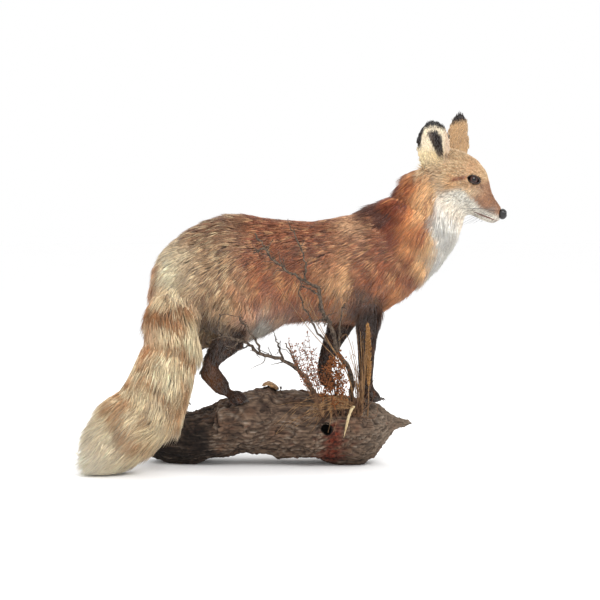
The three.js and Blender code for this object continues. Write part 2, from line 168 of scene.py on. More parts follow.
def merged_copy(node, out=0.0):
    """A bmesh copy of a frame node with its triangles joined, let out by a few tenths of a mm."""
    piece = bmesh.new()
    piece.from_mesh(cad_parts[node].data)
    bmesh.ops.remove_doubles(piece, verts=piece.verts, dist=1e-5)
    piece.normal_update()
    moves = [(v, v.normal.copy()) for v in piece.verts]
    for vert, normal in moves:
        vert.co += normal * out / 1000
    return piece


def add_object(name, mesh):
    """Puts a mesh in the scene as a new object at the origin."""
    made = bpy.data.objects.new(name, mesh)
    bpy.context.collection.objects.link(made)
    return made


def applied(obj):
    """Applies an object's modifiers."""
    graph = bpy.context.evaluated_depsgraph_get()
    mesh = bpy.data.meshes.new_from_object(obj.evaluated_get(graph))
    obj.modifiers.clear()
    obj.data = mesh
    return mesh


whole = bmesh.new()
marks = []  # points spread over each node, which say what part of the body a place is on
for index, node in enumerate(FLESH):
    piece = merged_copy(node, CUT)
    bmesh.ops.triangulate(piece, faces=piece.faces)
    corners = np.array([[v.co[:] for v in f.verts] for f in piece.faces])
    sides = np.cross(corners[:, 1] - corners[:, 0], corners[:, 2] - corners[:, 0])
    area = np.linalg.norm(sides, axis=1) / 2
    wanted = max(200, int(area.sum() / 0.006**2))
    face = rng.choice(len(area), wanted, p=area / area.sum())
    a, b = rng.random((2, wanted, 1))
    a, b = np.where(a + b > 1, 1 - a, a), np.where(a + b > 1, 1 - b, b)
    spots = corners[face, 0] * (1 - a - b) + corners[face, 1] * a + corners[face, 2] * b
    marks += [(index, spot) for spot in spots]
    copy = bpy.data.meshes.new(node)
    piece.to_mesh(copy)
    piece.free()
    whole.from_mesh(copy)
skin_mesh = bpy.data.meshes.new("fox_skin")
whole.to_mesh(skin_mesh)
whole.free()
skin = add_object("fox_skin", skin_mesh)
remesh = skin.modifiers.new("one_skin", "REMESH")
remesh.mode = "VOXEL"
remesh.voxel_size = SKIN_GRAIN / 1000
skin_mesh = applied(skin)
skin_mesh.name = "fox_skin"


def read_points(mesh):
    """The places of a mesh's vertices."""
    places = np.empty(len(mesh.vertices) * 3)
    mesh.vertices.foreach_get("co", places)
    return places.reshape(-1, 3)


def read_normals(mesh):
    """The vertex normals of a mesh."""
    normals = np.empty(len(mesh.vertices) * 3)
    mesh.vertex_normals.foreach_get("vector", normals)
    return normals.reshape(-1, 3)


def set_points(mesh, places):
    """Moves a mesh's vertices to places of the frame."""
    mesh.vertices.foreach_set("co", places.ravel())
    mesh.update()


def smooth(mesh):
    """Shades all the faces of a mesh as one smooth surface."""
    for polygon in mesh.polygons:
        polygon.use_smooth = True


edge_ends = np.empty(len(skin_mesh.edges) * 2, dtype=int)
skin_mesh.edges.foreach_get("vertices", edge_ends)
edge_a, edge_b = edge_ends.reshape(-1, 2).T
count = len(skin_mesh.vertices)
degree = np.bincount(edge_a, minlength=count) + np.bincount(edge_b, minlength=count)


def relaxed(values, rounds, amount=0.5):
    """Values on the skin's vertices, evened out with their neighbours."""
    values = np.array(values, dtype=float)
    for _ in range(rounds):
        for column in range(values.shape[1]):
            old = values[:, column]
            near = np.bincount(edge_a, old[edge_b], count) + np.bincount(edge_b, old[edge_a], count)
            values[:, column] = old + (near / degree - old) * amount
    return values


outline = read_points(skin_mesh)
tree = KDTree(len(marks))
for index, (_, spot) in enumerate(marks):
    tree.insert(spot, index)
tree.balance()
nearest = np.array([marks[tree.find(co)[1]][0] for co in outline])
share = np.zeros((count, len(FLESH)))
share[np.arange(count), nearest] = 1
is_ear = np.isin(nearest, [FLESH.index("ear_right"), FLESH.index("ear_left")])
even = relaxed(outline, 10)
outline = np.where(is_ear[:, None], relaxed(outline, 2), even)
share = relaxed(share, 24, 0.6)
part = {node: share[:, index] for index, node in enumerate(FLESH)}
tail_share, ear_share, fore_share, forepaw_share, hind_share, hindfoot_share = (
    sum(part[node] for node in FLESH if node.startswith(kind))
    for kind in ("tail", "ear", "foreleg", "forepaw", "hindleg", "hindfoot")
)
set_points(skin_mesh, outline)
normals = read_normals(skin_mesh)
places = fox_mm(outline)


def ramp(values, start, end):
    """0 up to start and 1 from end on, with a soft rise between."""
    t = np.clip((values - start) / (end - start), 0, 1)
    return t * t * (3 - 2 * t)


def spot(points, x, z, wide, tall):
    """A soft patch seen from the side, 1 at its middle."""
    return np.exp(-(((points[:, 0] - x) / wide) ** 2) - ((points[:, 2] - z) / tall) ** 2)


# Head axes: along the muzzle's own run, and across it.
nose_low, nose_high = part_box("nose")
nose_place = fox_mm([(nose_low + nose_high) / 2])[0]
eye_places = [fox_mm([sum(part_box(n), Vector()) / 2])[0] for n in ("eye_right", "eye_left")]
head_side = eye_places[1] - eye_places[0]
head_side /= np.linalg.norm(head_side)
head_ahead = np.array([head_side[1], -head_side[0], 0])
from_nose = (nose_place[:2] - places[:, :2]) @ head_ahead[:2]

# Each eye looks out to its side and a little ahead. Its opening is an almond, lower in front.
LID_LONG = 13.4
LID_TALL = 7.0
LID_TILT = math.radians(-17)
EYES = {}
for node, side, eye_place in (("eye_right", -1, eye_places[0]), ("eye_left", 1, eye_places[1])):
    look = head_side * side * 0.93 + head_ahead * 0.36 + np.array([0, 0, 0.06])
    look /= np.linalg.norm(look)
    eye_front = head_ahead - look * (head_ahead @ look)
    eye_front /= np.linalg.norm(eye_front)
    eye_top = np.cross(look, eye_front) * -side
    turn_front = eye_front * math.cos(LID_TILT) + eye_top * math.sin(LID_TILT)
    turn_top = eye_top * math.cos(LID_TILT) - eye_front * math.sin(LID_TILT)
    EYES[node] = {"place": eye_place, "look": look, "front": turn_front, "top": turn_top}


def in_almond(points, eye):
    """How far out points lie in an eye's opening, 1 at its edge, and how far ahead of its middle."""
    gap = points - eye["place"]
    reach = np.hypot(gap @ eye["front"] / LID_LONG, gap @ eye["top"] / LID_TALL)
    ahead_of = gap @ eye["look"]
    return np.where(ahead_of > -9, reach, 9.0), ahead_of


# The tail's run, from inside the rump to the tip.
TAIL_RUN = [(-214, -6, 396), (-234, -26, 345), (-237, -56, 300), (-234, -80, 252), (-244, -96, 213)]
TAIL_RUN += [(-254, -110, 178), (-268, -120, 136), (-304, -128, 101), (-342, -132, 68)]
TAIL_RUN += [(-369, -134, 42)]
TAIL_RUN = np.array(TAIL_RUN, dtype=float)
steps = np.linspace(0, len(TAIL_RUN) - 1, 90)
tail_line = np.stack(
    [np.interp(steps, np.arange(len(TAIL_RUN)), TAIL_RUN[:, axis]) for axis in range(3)], axis=1
)
tail_ahead = np.gradient(tail_line, axis=0)
tail_ahead /= np.linalg.norm(tail_ahead, axis=1)[:, None]


def on_tail(points):
    """For each point, the tail run's nearest place, its direction and how far along it lies."""
    gaps = ((points[:, None, :] - tail_line[None, :, :]) ** 2).sum(2)
    index = gaps.argmin(1)
    return tail_line[index], tail_ahead[index], index / (len(tail_line) - 1)


tail_core, tail_way, tail_along = on_tail(places)

# How deep the coat is over each part, in millimetres.
head_depth = 1.0 + 3.0 * ramp(from_nose, 30, 75) + 9 * ramp(from_nose, 95, 150)
head_depth *= 1 - 0.45 * ramp(places[:, 2], 560, 600)
depth = (
    part["head"] * head_depth
    + part["neck"] * (19 - 7 * ramp(places[:, 0], 262, 300))
    + part["trunk"] * 15
    + tail_share * 22
    + ear_share * 1.2
    + fore_share * (2.2 + 8 * ramp(places[:, 2], 270, 350))
    + forepaw_share * 1.4
    + hind_share * (2.4 + 9 * ramp(places[:, 2], 250, 330))
    + hindfoot_share * 1.2
)
depth = relaxed(depth[:, None], 6)[:, 0]
let_in = places - normals * depth[:, None]
tail_keep = 0.68
in_tail = tail_core + (places - tail_core) * tail_keep
tail_mix = ramp(tail_share * ramp(tail_along, 0.02, 0.3), 0.2, 0.95)[:, None]
let_in = let_in * (1 - tail_mix) + in_tail * tail_mix
bare = relaxed(let_in, 4)
let_in = np.where((ear_share + forepaw_share > 0.4)[:, None], let_in, bare)
eye_open = np.zeros(count)
for eye in EYES.values():
    reach, ahead_of = in_almond(let_in, eye)
    sunk = ramp(-reach, -1.12, -0.8)
    let_in -= eye["look"] * (np.maximum(ahead_of + 1.5, 0) * sunk)[:, None]
    eye_open = np.maximum(eye_open, ramp(-reach, -1.3, -1.2))
depth = np.linalg.norm(places - let_in, axis=1)

# The nape is filled out behind the ears and over the withers, so that it runs down in one line.
nape = 2 * spot(places, 232, 584, 20, 16) + 5 * spot(places, 212, 556, 17, 20)
nape += 8 * spot(places, 203, 528, 15, 13)
nape *= ramp(0.7 * normals[:, 2] - 0.7 * normals[:, 0], 0.2, 0.9) * (part["neck"] + part["trunk"])
let_in += normals * nape[:, None]
set_points(skin_mesh, let_in / 1000 + np.array(zero))

# The lie of the coat: the way the hair points at each place on the skin, from the nose backwards.
skin_points = let_in
skin_normals = read_normals(skin_mesh)
ahead = np.array([*head_ahead[:2], 0])


def way(x, y, z):
    """One direction for a whole part."""
    return np.array([[x, y, z]], dtype=float)


low_face = ramp(-places[:, 2], -560, -520)[:, None]
lie = (
    part["head"][:, None] * (-ahead - way(0, 0, 1) * (0.15 + 0.55 * low_face))
    + part["neck"][:, None] * (way(-0.62, 0, -0.85) + way(0.45, 0, 0) * ramp(places[:, 0:1], 250, 300))
    + part["trunk"][:, None] * way(-1, 0, -0.3)
    + part["trunk"][:, None] * way(0.2, 0, -1.5) * ramp(-places[:, 2:3], -465, -310)
    + part["trunk"][:, None] * way(0.1, 0, -0.7) * ramp(places[:, 0:1], 200, 260)
    + tail_share[:, None] * tail_way * 1.5
    + fore_share[:, None] * way(-0.15, 0, -1)
    + hind_share[:, None] * way(-0.45, 0, -0.9)
    + hindfoot_share[:, None] * way(0.45, 0, -0.9)
    + forepaw_share[:, None] * way(0.7, 0, -0.7)
    + part["ear_right"][:, None] * way(0.0, -0.22, 1)
    + part["ear_left"][:, None] * way(0.25, 0.12, 1)
)


def along_skin(ways, normals):
    """Directions laid flat on the skin, with a length of one."""
    flat = ways - normals * (ways * normals).sum(1)[:, None]
    return flat / np.maximum(np.linalg.norm(flat, axis=1), 1e-6)[:, None]


lie = along_skin(lie, skin_normals)
lie = along_skin(relaxed(lie, 8), skin_normals)


# Markings. One function gives the coat's colour at any place, for the skin and for every lock.
def waves(points, size, seed, count=7):
    """Smooth noise between about -1 and 1, whose lumps are size mm across."""
    source = np.random.default_rng(seed)
    runs = source.normal(size=(count, 3))
    runs *= (2 * math.pi / size) / np.linalg.norm(runs, axis=1)[:, None]
    runs *= source.uniform(0.6, 1.4, (count, 1))
    return np.sin(points @ runs.T + source.uniform(0, 6.28, count)).sum(1) / math.sqrt(count / 1.2)


def tint(code):
    return np.array(linear(code)[:3])


def laid_over(colour, other, cover):
    """One colour over another, where cover is 1."""
    return colour + (tint(other) - colour) * np.clip(cover, 0, 1)[:, None]


def all_over(code, points):
    """One colour at every point."""
    return np.tile(tint(code), (len(points), 1))


def painted(colour, *layers):
    """A colour with layers laid over it in turn, each given as its own colour and its cover."""
    for other, cover in layers:
        colour = laid_over(colour, other, cover)
    return colour


def markings(points, parts, normals):
    """The coat's colour at places of the skin, given each place's share of every body part."""
    wander = waves(points, 70, 1) * 9
    x = points[:, 0] + wander
    z = points[:, 2] + waves(points, 60, 2) * 8
    moved = np.stack([x, points[:, 1], z], axis=1)
    height = (points[:, 2] - 285) / 210

    # Trunk: orange flanks, a reddish-brown back, a grizzled tan rump and a pale belly.
    grizzle = waves(points * np.array([0.6, 1, 1]), 12, 3)
    streak = waves(points * np.array([1, 1, 0.28]), 17, 4)
    rump = ramp(-x, 70, 130)
    body = painted(
        all_over("b86f42", points),
        ("dca56e", ramp(streak, 0.1, 1.2) * 0.8),
        ("8f4d2c", ramp(-streak, 0.2, 1.3) * 0.8),
        ("98593c", ramp(height, 0.38, 0.72) * 0.9),
        ("6e4231", ramp(height, 0.82, 1.06) * 0.75),
        ("c29e76", rump * 0.92),
        ("8a5c42", rump * ramp(height, 0.6, 0.96) * 0.9),
        ("e6cfa6", rump * ramp(grizzle, 0.1, 1.1) * 0.75),
        ("6e4e3a", rump * ramp(-grizzle, 0.2, 1.2) * 0.7),
        ("d6a878", ramp(height, 0.3, 0.7) * ramp(grizzle, 0.3, 1.2) * (1 - rump) * 0.6),
        ("5f4030", ramp(height, 0.3, 0.7) * ramp(-grizzle, 0.1, 1.1) * 0.6),
        ("b9653a", ramp(-x, 240, 285) * 0.5),
        ("f2e2c0", spot(moved, -222, 388, 30, 54) * 1.15),
        ("dcb088", spot(moved, 133, 470, 30, 22) * 0.9),
        ("e6b480", spot(moved, 102, 376, 22, 46) * 1.1),
        ("6e3c26", spot(moved, 130, 366, 9, 26) * 0.75),
        ("dc9a64", ramp(x, 160, 200) * ramp(-height, -0.5, -0.2) * 0.8),
        ("b57a50", ramp(-height, -0.22, 0.02) * ramp(x, -25, 10) * 0.6),
        ("d2cabd", spot(moved, -46, 286, 36, 42) * 1.3),
        ("5e3d2b", spot(moved, -165, 304, 20, 28) * 0.7),
    )

    # Neck: rust behind, orange towards the throat, then a white bib with a cream edge.
    bib_levels, bib_edges = [300, 330, 372, 415, 468, 530, 575], [205, 222, 256, 276, 284, 282, 300]
    bib = x * 0.6 + points[:, 0] * 0.4 - np.interp(points[:, 2], bib_levels, bib_edges)
    hang = waves(points * np.array([1, 1, 0.22]), 15, 6)
    neck = painted(
        all_over("843c20", points),
        ("cb824a", ramp(bib + 14 * hang, -76, -28)),
        ("e6bd8a", ramp(bib + 10 * hang, -42, -6)),
        ("6a301c", ramp(-hang, 0.2, 1.2) * 0.7),
        ("dc9c64", ramp(hang, 0.4, 1.4) * 0.45),
    )
    white = ramp(bib, -12, 8)

    # Head: tan on top, orange-brown muzzle, white lips, cheeks and throat.
    run = (nose_place[:2] - points[:, :2]) @ head_ahead[:2]
    level = np.interp(run, [0, 18, 38, 52, 70, 100, 150], [494, 502, 512, 532, 548, 545, 534])
    flecks = waves(points, 7, 9)
    mask = ramp(-run, -86, -48) * ramp(-points[:, 2], -574, -552)
    under = ramp(level + wander * 0.25 - points[:, 2], -6, 7)
    behind_eye = points[:, 0] - eye_places[0][0]
    stripe = np.abs(points[:, 2] - eye_places[0][2] - 4 - (behind_eye + 15) * 0.18)
    stripe = ramp(-stripe, -6, -1) * ramp(behind_eye, -46, -36) * ramp(-behind_eye, 8, 16)
    tear = np.abs(points[:, 2] - (eye_places[0][2] - 8 - (behind_eye - 14) * 1.3))
    tear = ramp(-tear, -4.5, -1) * ramp(behind_eye, 8, 12) * ramp(-behind_eye, -24, -19)
    head = painted(
        all_over("d4b48c", points),
        ("a3774f", ramp(-flecks, 0.2, 1.3) * 0.6),
        ("ecd3ac", ramp(flecks, 0.2, 1.3) * 0.5),
        ("9c6e52", mask * 0.9),
        ("7d5a48", mask * ramp(-flecks, 0.2, 1.3) * 0.5),
        ("efdcba", spot(points, 345, 546, 22, 10) * 0.7),
        ("c98a5c", spot(points, 352, 588, 16, 22) * 0.35),
        ("dba873", spot(moved, 322, 552, 26, 14) * 0.7),
        ("c48a5a", ramp(run, 120, 165) * 0.8),
        ("f1eadc", under),
        ("8f867c", under * ramp(-flecks, 0.7, 1.5) * ramp(points[:, 0], 300, 330) * 0.6),
        ("9a8f86", spot(points, 392, 510, 9, 6) * 0.6),
        ("8c7a70", ramp(-run, -36, -6) * ramp(-points[:, 2], -496, -486) * 0.55),
        ("8f4d33", stripe * 0.8),
        ("4a2e22", tear * 0.85),
    )
    for eye_place in eye_places:
        gap = np.linalg.norm((points - eye_place) * np.array([0.72, 1, 1.25]), axis=1)
        head = laid_over(head, "231711", ramp(-gap, -13.5, -11))

    # Tail: cream-tan with orange-brown bands, rusty above and paler towards its tip.
    core, _, run_share = on_tail(points)
    band = 0.5 + 0.5 * np.sin(run_share * 6.28 * 5.4 + 1.2 + waves(points, 60, 5) * 1.3)
    combed = waves(points * np.array([1, 1, 0.3]), 14, 8)
    rusty = ramp(core[:, 0] - points[:, 0], 8, 46) * ramp(-run_share, -0.6, -0.2)
    tail = painted(
        all_over("dcc297", points),
        ("a86c3e", band**2 * (0.95 - 0.45 * run_share)),
        ("f0e0be", (1 - band) ** 2 * 0.6),
        ("b0693f", rusty * 0.7),
        ("86613f", ramp(-combed, 0.3, 1.3) * (0.75 - 0.4 * run_share)),
        ("eadbb8", ramp(combed, 0.3, 1.3) * 0.5),
        ("f3e6cb", ramp(run_share, 0.78, 0.95) * 0.9),
    )

    # Legs: dark stockings, browner behind the hocks.
    stocking = painted(
        all_over("332015", points),
        ("6e452c", ramp(grizzle, 0.2, 1.4) * 0.5),
        ("7b5032", spot(points, -166, 166, 20, 30) * 0.6),
    )
    upper = ramp(points[:, 2] + wander * 0.5, 322, 366)[:, None]
    thigh = ramp(points[:, 2] + wander, 262, 318)[:, None]

    # Each part's own colour in its share, then the patches that cross from part to part.
    looks = {"head": head, "neck": neck, "trunk": body, "tail": tail}
    looks["foreleg"] = looks["forepaw"] = body + (stocking - body) * (1 - upper)
    looks["hindleg"] = looks["hindfoot"] = stocking + (body - stocking) * thigh
    whole = np.zeros((len(points), 3))
    for name in FLESH:
        kind = name.split("_")[0]
        look = ear_colour(points, normals, name) if kind == "ear" else looks[kind]
        whole += look * parts[name][:, None]
    flesh_share = np.clip(parts["neck"] + parts["trunk"] * ramp(points[:, 0], 190, 225), 0, 1)
    shoulder_share = np.clip(parts["neck"] + parts["trunk"], 0, 1)
    near_side = ramp(-points[:, 1], 0, 20)
    dark_withers = ramp(spot(moved, 176, 508, 38, 24) + 0.1 * streak, 0.25, 0.85)
    elbow = ramp(spot(moved, 150, 343, 27, 30) + 0.14 * streak, 0.3, 0.8) * near_side
    return painted(
        whole,
        ("ece7dd", white * flesh_share),
        ("ecd8b0", spot(points, 258, 602, 16, 17) * near_side * 1.1),
        ("4a2a1e", dark_withers * shoulder_share * 0.85),
        ("4e3120", elbow * (1 - parts["neck"]) * 0.85),
    )


EARS = {
    "ear_right": {"base": (275, -38, 583), "up": (0.0, -0.25, 0.97), "open": (-0.1, -1, 0.15)},
    "ear_left": {"base": (305, 20, 606), "up": (0.26, 0.06, 0.96), "open": (0.74, 0.67, 0)},
}


def ear_axes(name):
    """An ear's base, and the ways it rises, opens and spreads."""
    ear = EARS[name]
    up = np.array(ear["up"]) / np.linalg.norm(ear["up"])
    opening = np.array(ear["open"], dtype=float)
    opening -= up * (opening @ up)
    opening /= np.linalg.norm(opening)
    return np.array(ear["base"]), up, opening, np.cross(up, opening)


def ear_colour(points, normals, name):
    """Black behind and at the tip, a cream rim, and painted shade deep in the ear's opening in front.
    """
    base, up, opening, across = ear_axes(name)
    middle = (points - base) @ across
    height = (points - base) @ up / 100
    front = ramp(normals @ opening, -0.1, 0.2)
    if name == "ear_left":
        tip_share = ramp(height + 0.003 * middle, 0.72, 0.84)
        back = painted(all_over("cba57a", points), ("2e2624", tip_share))
        face = painted(all_over("dcc39c", points), ("2e2624", ramp(height, 0.78, 0.88)))
        return back + (face - back) * front[:, None]
    back = painted(all_over("b98a60", points), ("1d1716", ramp(height, 0.3, 0.5)))
    half = 37 * np.minimum(1.15 * np.sqrt(np.clip(height, 0, 1) + 0.25), 1)
    half *= np.sqrt(np.clip(1.0001 - np.clip(height, 0, 1) ** 5, 0, 1))
    near_rim = np.abs(middle) / np.maximum(half, 4)
    left_rim = ramp(near_rim, 0.66, 0.74) * ramp(height, 0.4, 0.52) * ramp(-middle, -4, 4)
    top_rim = ramp(height + 0.1 * (middle / 30) ** 2, 0.85, 0.89) * ramp(-middle, -30, -20)
    run_down = np.clip((0.8 - height) / 0.5, 0, 1)
    off_line = (middle + 4 - 19 * run_down) / (14 - 8 * run_down)
    # The dark middle of the ear's opening is painted shade: near black low down, greyer towards its
    # upper left.
    ear_recess_shade = ramp(-np.abs(off_line), -1.15, -0.9)
    ear_recess_shade *= ramp(height, 0.22, 0.32) * ramp(-height - 0.06 * off_line**2, -0.82, -0.77)
    face = painted(
        all_over("ecdcc0", points),
        ("e6cfa0", ramp(-height, -0.5, -0.3)),
        ("d9b79c", ramp(middle, 16, 24) * 0.6),
        ("1d1716", left_rim),
        ("1d1716", top_rim),
        # painted shade in the ear's opening, then its greyer upper left
        ("1c1210", ear_recess_shade),
        ("77675c", ear_recess_shade * ramp(-off_line, 0.0, 0.8) * ramp(height, 0.5, 0.7) * 0.7),
        ("4a3128", ramp(-np.hypot(middle - 30, (height - 0.3) * 100), -9, -4) * 0.8),
    )
    return back + (face - back) * front[:, None]


# The skin's own map: it is cut into islands by angle and laid out flat.
bpy.context.view_layer.objects.active = skin
skin.select_set(True)
bpy.ops.object.mode_set(mode="EDIT")
bpy.ops.mesh.select_all(action="SELECT")
bpy.ops.uv.smart_project(angle_limit=math.radians(72), island_margin=0.002)
bpy.ops.object.mode_set(mode="OBJECT")
skin_mesh.uv_layers[0].name = "OFBake"
smooth(skin_mesh)


def paint(mesh, colours):
    """Stores the coat's colours on a mesh's vertices, as the attribute that its material reads."""
    layer = mesh.color_attributes.new("markings", "FLOAT_COLOR", "POINT")
    four = np.ones((len(colours), 4), dtype=np.float32)
    four[:, :3] = np.clip(colours, 0, 1)
    layer.data.foreach_set("color", four.ravel())


paint(skin_mesh, markings(skin_points, part, skin_normals) * 0.8)


def marked(name, scale, low, high):
    """A material in the painted markings, from low to high times as bright by a fine noise.

    scale is how many flecks lie in a metre, so that 420 gives flecks of 2.4 mm.
    """
    material, node_tree, shader = new_material(name)
    colour_in = add_node(node_tree, "ShaderNodeVertexColor", layer_name="markings")
    where = add_node(node_tree, "ShaderNodeTexCoord")
    fleck = add_node(
        node_tree, "ShaderNodeTexNoise", [("Vector", where.outputs["Object"])], Scale=scale
    )
    shade = add_node(
        node_tree, "ShaderNodeMapRange", [("Value", fleck.outputs["Fac"])], To_Min=low, To_Max=high
    )
    tinted = add_node(
        node_tree,
        "ShaderNodeVectorMath",
        [("Vector", colour_in.outputs["Color"]), ("Scale", shade.outputs["Result"])],
        operation="SCALE",
    )
    node_tree.links.new(tinted.outputs[0], shader.inputs["Base Color"])
    return material, node_tree, shader, fleck


# Tanned fox skin with its underfur: the markings, a little darker, broken up at the scale of locks.
skin_coat, node_tree, shader, fleck = marked("fox_underfur", 420.0, 0.75, 1.2)
relief = add_node(
    node_tree, "ShaderNodeBump", [("Height", fleck.outputs["Fac"])], Strength=0.5, Distance=0.001
)
node_tree.links.new(relief.outputs[0], shader.inputs["Normal"])
set_inputs(shader, Roughness=0.85, Specular_IOR_Level=0.2)
skin_mesh.materials.clear()
skin_mesh.materials.append(skin_coat)
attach(skin, "root")
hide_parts(*FLESH)

# ---------------------------------------------------------------------------------------------
# Coat. Every lock is a slim closed spike of three sides, rooted in the skin, that rises and then
# bends over with the lie of the coat. Neighbouring locks lean together, as guard hair clumps.
skin_mesh.calc_loop_triangles()
triangles = np.empty(len(skin_mesh.loop_triangles) * 3, dtype=int)
skin_mesh.loop_triangles.foreach_get("vertices", triangles)
triangles = triangles.reshape(-1, 3)
corner_loops = np.empty(len(skin_mesh.loop_triangles) * 3, dtype=int)
skin_mesh.loop_triangles.foreach_get("loops", corner_loops)
corner_loops = corner_loops.reshape(-1, 3)
map_places = np.empty(len(skin_mesh.loops) * 2)
skin_mesh.uv_layers["OFBake"].data.foreach_get("uv", map_places)
map_places = map_places.reshape(-1, 2)
corners = skin_points[triangles]
triangle_area = (
    np.linalg.norm(np.cross(corners[:, 1] - corners[:, 0], corners[:, 2] - corners[:, 0]), axis=1) / 2
)

# The coat's own measures on each vertex: how long, how wide and how steep the locks stand.
length_mm = (
    part["head"] * (6 + 5 * ramp(from_nose, 25, 70) + 18 * ramp(from_nose, 100, 150))
    + part["neck"] * 50
    + part["trunk"] * (36 + 10 * ramp(-places[:, 2], -420, -300))
    + tail_share * 58
    + ear_share * 8
    + fore_share * (10 + 26 * ramp(places[:, 2], 255, 340))
    + forepaw_share * 7
    + hind_share * (12 + 22 * ramp(places[:, 2], 240, 330))
    + hindfoot_share * 8
)
length_mm *= 1 - 0.45 * part["head"] * ramp(places[:, 2], 560, 600)
width_mm = (
    (part["head"] + forepaw_share + hindfoot_share) * 1.3
    + (part["neck"] + part["trunk"]) * 2.0
    + tail_share * 2.3
    + ear_share * 1.2
    + (fore_share + hind_share) * 1.9
)
measures = np.stack([length_mm, width_mm, depth, tail_share], axis=1)


LOCK_RINGS = 2  # how many rings of three points a lock has below its tip
LOCK_FLOOR = 2.0  # no lock hangs lower than this many mm above the floor


def coat(name, chosen, wanted, clump, lean, seed):
    """Grows one piece of coat on the chosen triangles of the skin.

    wanted is how many locks it has, clump the spacing in mm of the places that they lean to, and
    lean how far they go.
    """
    source = np.random.default_rng(seed)
    index = np.flatnonzero(chosen)
    chance = triangle_area[index] / np.maximum(measures[triangles[index], 1].mean(1), 0.8) ** 1.2
    face = index[source.choice(len(index), wanted, p=chance / chance.sum())]
    a, b = source.random((2, wanted, 1))
    a, b = np.where(a + b > 1, 1 - a, a), np.where(a + b > 1, 1 - b, b)
    weights = np.concatenate([1 - a - b, a, b], axis=1)

    def blend(values):
        return (values[triangles[face]] * weights[:, :, None]).sum(1)

    root = blend(skin_points)
    out = blend(skin_normals)
    out /= np.linalg.norm(out, axis=1)[:, None]
    flow = blend(lie)
    flow += 0.14 * source.normal(size=flow.shape)
    flow += 0.17 * np.stack([waves(root, 62, 90 + k) for k in (1, 2, 3)], axis=1)
    flow = along_skin(flow, out)
    long, wide, deep, is_tail = blend(measures).T
    parts = {node: blend(share[:, i : i + 1])[:, 0] for i, node in enumerate(FLESH)}
    uv = (map_places[corner_loops[face]] * weights[:, :, None]).sum(1)
    long = long * source.uniform(0.72, 1.18, wanted)
    wide = wide * source.uniform(0.7, 1.25, wanted)

    # The bend: it starts steep and lies down, so that it ends near the top of the coat's depth.
    steep = np.arcsin(np.clip(deep / np.maximum(long, 1), 0.12, 0.95))
    steep *= source.uniform(0.75, 1.12, wanted)
    line = [root - out * 0.5]
    for step in range(LOCK_RINGS):
        angle = steep * (1.55 - 1.3 * step / max(LOCK_RINGS - 1, 1))
        step_way = flow * np.cos(angle)[:, None] + out * np.sin(angle)[:, None]
        line.append(line[-1] + step_way * (long / LOCK_RINGS)[:, None])
    line = np.stack(line, axis=1)

    # Locks lean to the nearest clump's own middle lock, more towards their tips.
    keep = max(1, int(triangle_area[index].sum() / clump**2))
    heads = source.choice(wanted, min(keep, wanted), replace=False)
    finder = KDTree(len(heads))
    for i, head_index in enumerate(heads):
        finder.insert(root[head_index], i)
    finder.balance()
    leader = heads[[finder.find(root_place)[1] for root_place in root]]
    pull = (np.arange(LOCK_RINGS + 1) / LOCK_RINGS) ** 1.5 * lean
    pull = pull[None, :, None] * source.uniform(0.5, 1.1, (wanted, 1, 1))
    line = line + (line[leader] - line) * pull * (1 - 0.35 * is_tail[:, None, None])
    line[..., 2] = np.maximum(line[..., 2], LOCK_FLOOR + source.uniform(0, 3, (wanted, 1)))

    # Rings of three points round the line, and a tip.
    side = np.cross(out, flow)
    taper = np.linspace(1.0, 0.95, LOCK_RINGS)
    spin = 2 * math.pi * np.arange(3) / 3 + math.pi / 2
    circle = (
        side[:, None, None, :] * np.cos(spin)[None, None, :, None]
        + out[:, None, None, :] * np.sin(spin)[None, None, :, None] * 0.55
    )
    radius = (wide / 2)[:, None, None, None] * taper[None, :, None, None]
    rings_at = line[:, :LOCK_RINGS, None, :] + circle * radius
    verts = np.concatenate([rings_at.reshape(wanted, -1, 3), line[:, -1:, :]], axis=1)
    per = LOCK_RINGS * 3 + 1

    # Faces of one lock: a base, walls and a point.
    faces = [(2, 1, 0)]
    for ring in range(LOCK_RINGS - 1):
        low = ring * 3
        for k in range(3):
            nxt = (k + 1) % 3
            faces.append((low + k, low + nxt, low + 3 + nxt))
            faces.append((low + k, low + 3 + nxt, low + 3 + k))
    low = (LOCK_RINGS - 1) * 3
    faces += [(low + k, low + (k + 1) % 3, low + 3) for k in range(3)]
    faces = np.array(faces)
    all_faces = (faces[None] + (np.arange(wanted) * per)[:, None, None]).reshape(-1, 3)

    mesh = bpy.data.meshes.new(name)
    mesh.vertices.add(wanted * per)
    mesh.vertices.foreach_set("co", (verts.reshape(-1, 3) / 1000 + np.array(zero)).ravel())
    mesh.loops.add(all_faces.size)
    mesh.loops.foreach_set("vertex_index", all_faces.ravel())
    mesh.polygons.add(len(all_faces))
    mesh.polygons.foreach_set("loop_start", np.arange(0, all_faces.size, 3))
    mesh.polygons.foreach_set("use_smooth", np.ones(len(all_faces), dtype=bool))
    mesh.update()

    # Colour: the markings at the root, with each lock a little lighter or darker than the next.
    base = markings(root, parts, out)
    base = base * (1 + 0.2 * source.normal(size=(wanted, 1))).clip(0.55, 1.5)
    base = base * (1 + 0.07 * waves(root, 30, 97))[:, None]
    along = np.concatenate([np.repeat(np.arange(LOCK_RINGS) / LOCK_RINGS, 3), [1.0]])
    fade = 0.78 + 0.36 * along
    colours = base[:, None, :] * fade[None, :, None]
    paint(mesh, colours.reshape(-1, 3))

    # Map: a patch about 0.003 across at the root's own place.
    layer = mesh.uv_layers.new(name="OFBake")
    spread = np.concatenate([np.tile([-0.001, 0.0, 0.001], LOCK_RINGS), [0.0]])
    climb = along * 0.003 - 0.0015
    patch = uv[:, None, :] + np.stack([spread, climb], axis=1)[None]
    layer.data.foreach_set("uv", patch.reshape(-1, 2)[all_faces.ravel()].ravel())
    piece = add_object(name, mesh)
    mesh.materials.append(guard_hair)
    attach(piece, "root")
    return piece


